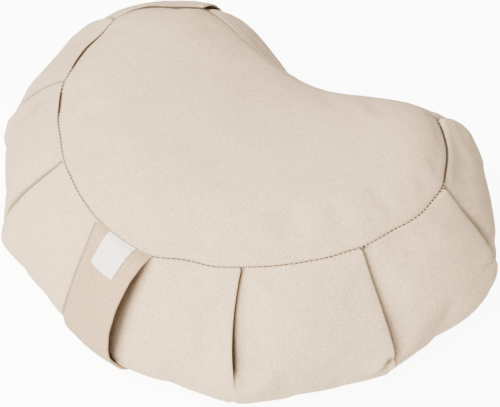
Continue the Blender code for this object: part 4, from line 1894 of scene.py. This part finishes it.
@dataclass
class CarryStrap:
    """The flat folded strap, from the top seam over the front to the bottom seam.

    The strap's upper end is sunk into the seam, over the levels down to sunk_end. sides and
    bulges give the lift, as a share of the thickness, and the bulge in mm of the points on
    its folded edges. The face's points are spread over face_span of a half circle, so that
    they lie closer at the hems.
    """

    form: CushionForm
    middle: float = -3 * MM
    drift: float = -2 * MM
    width: float = 55 * MM
    thickness: float = 2.4 * MM
    sunk: float = 2.8
    sunk_end: float = 0.045
    first_levels: tuple[float, float, float] = (0.0, 0.006, 0.014)
    last_level: float = 1.92
    face_points: int = 44
    face_span: tuple[float, float] = (0.06, 0.94)
    rows: int = 110
    sides: Sequence[float] = (0.78, 0.55, 0.46, 0.28)
    bulges: Sequence[float] = (0.45, 0.35, 0.40, 0.40)
    hem: float = 4.0 * MM
    hem_rise: float = 0.35 * MM
    hem_edge: float = 1.2 * MM
    groove: float = 0.45 * MM
    groove_width: float = 0.7 * MM
    stitch_pitch: float = 3.1 * MM
    stitch_share: float = 0.78
    stitch_width: float = 0.5 * MM
    sewn_levels: tuple[float, float] = (0.02, 1.7)
    sewn_points: int = 800

    def stand_off(self, share: Points, level: Points) -> Points:
        """Distance between the strap's inner face and the band.

        Args:
            share: 0 at the strap's left edge, 1 at its right one.
            level: levels down the band.

        Returns:
            The distances, in metres.
        """
        levels, left, right = np.array(STRAP_RUN).T
        left, right = np.interp(level, levels, left), np.interp(level, levels, right)
        sunk = smooth_step(1 - level / self.sunk_end) * self.sunk
        return (left + (right - left) * share - sunk) * MM

    def lifted(self, along: Points, level: Points, lift: Points) -> Points:
        """Points at a height above the band's skin."""
        normal = self.form.skin_normal(along, level)
        return self.form.skin(along, level) + normal * lift[..., None]

    def edges(self, level: Points) -> tuple[Points, Points]:
        """Places on the seam of the strap's two edges, a constant width apart in space.

        Args:
            level: levels down the band.

        Returns:
            The places of the left edge, and of the right one.
        """
        middle = self.middle + self.drift * np.minimum(level, 1.0)
        half = np.full_like(level, self.width / 2)
        left = self.lifted(middle - half, level, self.stand_off(0.0 * level, level))
        right = self.lifted(middle + half, level, self.stand_off(0.0 * level + 1, level))
        half *= self.width / np.linalg.norm(right - left, axis=-1)
        return middle - half, middle + half

    def at(self, share: Points, level: Points, lift: Points) -> Points:
        """Points on the strap's inner face, lifted off it.

        Args:
            share: 0 at the strap's left edge, 1 at its right one.
            level: levels down the band.
            lift: heights over the inner face, in metres.

        Returns:
            Positions, with a last axis of three.
        """
        share, level, lift = np.broadcast_arrays(share, np.asarray(level, float), lift)
        left, right = self.edges(level)
        off = self.stand_off(share, level) + lift
        return self.lifted(left + (right - left) * share, level, off)

    def levels(self) -> Points:
        """Levels of the strap's rows, closer at its ends."""
        *ends, first = self.first_levels
        return np.concatenate([ends, np.linspace(first, self.last_level, self.rows)])

    def face_lift(self, share: Points) -> Points:
        """Height of the outer face: raised hems with a sewn line inside each.

        Args:
            share: 0 at the strap's left edge, 1 at its right one.

        Returns:
            The heights over the inner face, in metres.
        """
        inside = np.minimum(share, 1 - share) * self.width - self.hem
        groove = np.exp(-(inside / self.groove_width) ** 2) * self.groove
        hem = smooth_step(0.5 - inside / self.hem_edge) * self.hem_rise
        return self.thickness - self.hem_rise + hem - groove

    def section(self) -> tuple[Points, Points, Points]:
        """Shares, lifts and bulges of the points round the strap's section.

        Returns:
            One of each for the points of the outer face, the right edge, the inner face and
            the left edge.
        """
        turn = np.linspace(*self.face_span, self.face_points) * math.pi
        share = 0.5 - 0.5 * np.cos(turn)
        side = np.array(self.sides) * self.thickness
        bulge = np.array(self.bulges) * MM
        shares = np.concatenate([share, 0 * side + 1, share[::-1], 0 * side])
        lifts = np.concatenate([self.face_lift(share), side, 0 * share, side[::-1]])
        bulges = np.concatenate([0 * share, bulge, 0 * share, -bulge[::-1]])
        return shares, lifts, bulges

    def build(self) -> bpy.types.Object:
        """Makes the piece.

        Returns:
            The piece's object.
        """
        shares, lifts, bulges = self.section()
        rings = [self.at(shares + bulges / self.width, level, lifts) for level in self.levels()]
        down = running_length(np.array(rings)[:, self.face_points // 2])
        strap = RingMesh(rings, strip_cloth(shares * self.width, down)).build("strap")
        strap.data.materials.append(STRAP_CANVAS.material())
        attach(strap, BODY)
        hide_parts("carry_handle")
        return strap

    def sewing(self) -> bpy.types.Object:
        """The two lines of topstitching, just inside the hems.

        Returns:
            The piece's object.
        """
        stitches = []
        dense = np.linspace(*self.sewn_levels, self.sewn_points)
        length = self.stitch_pitch * self.stitch_share
        for share in (self.hem / self.width, 1 - self.hem / self.width):
            line = self.at(share, dense, self.thickness - self.groove)
            at = running_length(line)
            places = np.arange(self.stitch_pitch, at[-1], self.stitch_pitch)
            levels = np.interp(places, at, dense)
            middle = read_line(places, at, line)
            ahead = read_line(places + MM, at, line)
            left, right = self.edges(levels)
            normal = self.form.skin_normal(left + (right - left) * share, levels)
            stitches += [Stitch(m, a - m, n, length, self.stitch_width)
                         for m, a, n in zip(middle, ahead, normal)]
        return stitch_piece("strap_stitches", stitches)


@dataclass
class BareLabel:
    """The bare white patch sewn on the strap, near the top seam.

    across is the share of the strap's width that it covers, and levels how far down it runs.
    """

    strap: CarryStrap
    across: tuple[float, float] = (0.26, 0.75)
    levels: tuple[float, float] = (0.0, 0.315)
    thickness: float = 0.6 * MM
    lift: float = 0.35 * MM
    curl: float = 0.3 * MM
    curl_start: float = 0.25
    curl_length: float = 0.06
    columns: int = 30
    rows: int = 44

    def build(self) -> bpy.types.Object:
        """Makes the piece.

        Returns:
            The piece's object.
        """
        share = np.linspace(*self.across, self.columns)
        shares = np.concatenate([share, share[::-1]])
        sheet = np.repeat([self.thickness, 0.0], self.columns)
        rings = []
        for level in np.linspace(*self.levels, self.rows):
            over = self.strap.thickness + self.lift + self.edge_curl(level)
            rings.append(self.strap.at(shares, level, sheet + over))
        down = running_length(np.array(rings)[:, self.columns // 2])
        cloth = strip_cloth(shares * self.strap.width, down)
        label = RingMesh(rings, cloth).build("bare_label")
        label.data.materials.append(LABEL_TAPE.material())
        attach(label, BODY)
        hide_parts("label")
        return label

    def edge_curl(self, level: float) -> float:
        """How far the label's lower edge lifts off the strap."""
        return self.curl * float(smooth_step((level - self.curl_start) / self.curl_length))


# ---- studio ----------------------------------------------------------------------------
class SoftBox(NamedTuple):
    """A square studio light: the way to it in degrees, and its power in watts."""

    name: str
    azimuth: float
    elevation: float
    power: float


SOFT_BOXES = tuple(starmap(SoftBox, (
    ("overhead", 0, 90, 20), ("left", 205, 48, 25), ("front", 266, 52, 210),
    ("front_low", 287, 22, 37), ("right", 335, 35, 8), ("back", 110, 35, 14),
)))


@dataclass
class Studio:
    """Floor, lights and the camera of the photograph."""

    camera_place: tuple[float, float, float] = (0.48091, -0.63825, 0.94176)
    camera_aim: tuple[float, float, float] = (-0.386403, 0.546286, -0.743145)
    lens: float = 100.8
    sensor: float = 36.0
    near: float = 0.05
    floor_size: float = 6.0
    floor_drop: float = 0.4 * MM
    light_colour: Colour = (1.0, 0.905, 0.765)
    light_size: float = 1.6
    light_distance: float = 2.6
    sky: float = 0.20

    def build(self) -> None:
        """Makes the studio."""
        self.make_floor()
        self.make_camera()
        self.make_sky()
        for box in SOFT_BOXES:
            self.make_light(box)

    def make_floor(self) -> None:
        """A wide pale floor, just under the sole."""
        mesh = bmesh.new()
        bmesh.ops.create_grid(mesh, x_segments=4, y_segments=4, size=self.floor_size)
        bmesh.ops.translate(mesh, verts=mesh.verts, vec=(0.0, 0.0, -self.floor_drop))
        floor = finished_object("floor", mesh)
        floor.data.materials.append(FloorFinish().material())

    def make_camera(self) -> None:
        """The camera stands where the photograph was taken from."""
        data = bpy.data.cameras.new("photo_camera")
        data.lens = self.lens
        data.sensor_width = self.sensor
        data.clip_start = self.near
        camera = bpy.data.objects.new("photo_camera", data)
        camera.location = self.camera_place
        camera.rotation_euler = Vector(self.camera_aim).to_track_quat("-Z", "Y").to_euler()
        bpy.context.scene.collection.objects.link(camera)
        bpy.context.scene.camera = camera

    def make_sky(self) -> None:
        """Even white light from all round."""
        world = bpy.data.worlds.new("studio")
        world.use_nodes = True
        sky = world.node_tree.nodes["Background"]
        sky.inputs["Color"].default_value = rgba(self.light_colour)
        sky.inputs["Strength"].default_value = self.sky
        bpy.context.scene.world = world

    def make_light(self, box: SoftBox) -> None:
        """One soft box, turned to the cushion.

        Args:
            box: where it stands, and how strong it is.
        """
        data = bpy.data.lights.new(box.name, "AREA")
        data.size = self.light_size
        data.energy = box.power
        data.color = self.light_colour
        light = bpy.data.objects.new(box.name, data)
        azimuth, elevation = math.radians(box.azimuth), math.radians(box.elevation)
        way = Vector((math.cos(elevation) * math.cos(azimuth),
                      math.cos(elevation) * math.sin(azimuth), math.sin(elevation)))
        light.location = way * self.light_distance
        light.rotation_euler = (-way).to_track_quat("-Z", "Y").to_euler()
        bpy.context.scene.collection.objects.link(light)


def clear_scene() -> None:
    """Removes whatever the scene starts with."""
    for thing in list(bpy.data.objects):
        bpy.data.objects.remove(thing)


def report(piece: bpy.types.Object) -> None:
    """Logs a piece's name and size."""
    log.info("%s: %d faces", piece.name, len(piece.data.polygons))


def main() -> None:
    """Builds every piece round the frame."""
    logging.basicConfig(level=logging.INFO, format="%(message)s")
    clear_scene()
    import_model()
    form = CushionForm()
    filling = FillingPressure(form)
    filling.settle()
    layout = RingLayout(form)
    strap = CarryStrap(form)
    report(SideBand(form, filling, layout, strap).build())
    report(TopPanel(form, filling).build())
    report(BottomPanel(form).build())
    report(SeamSewing(form).build())
    report(strap.build())
    report(strap.sewing())
    report(BareLabel(strap).build())
    Studio().build()


if __name__ == "__main__":
    main()
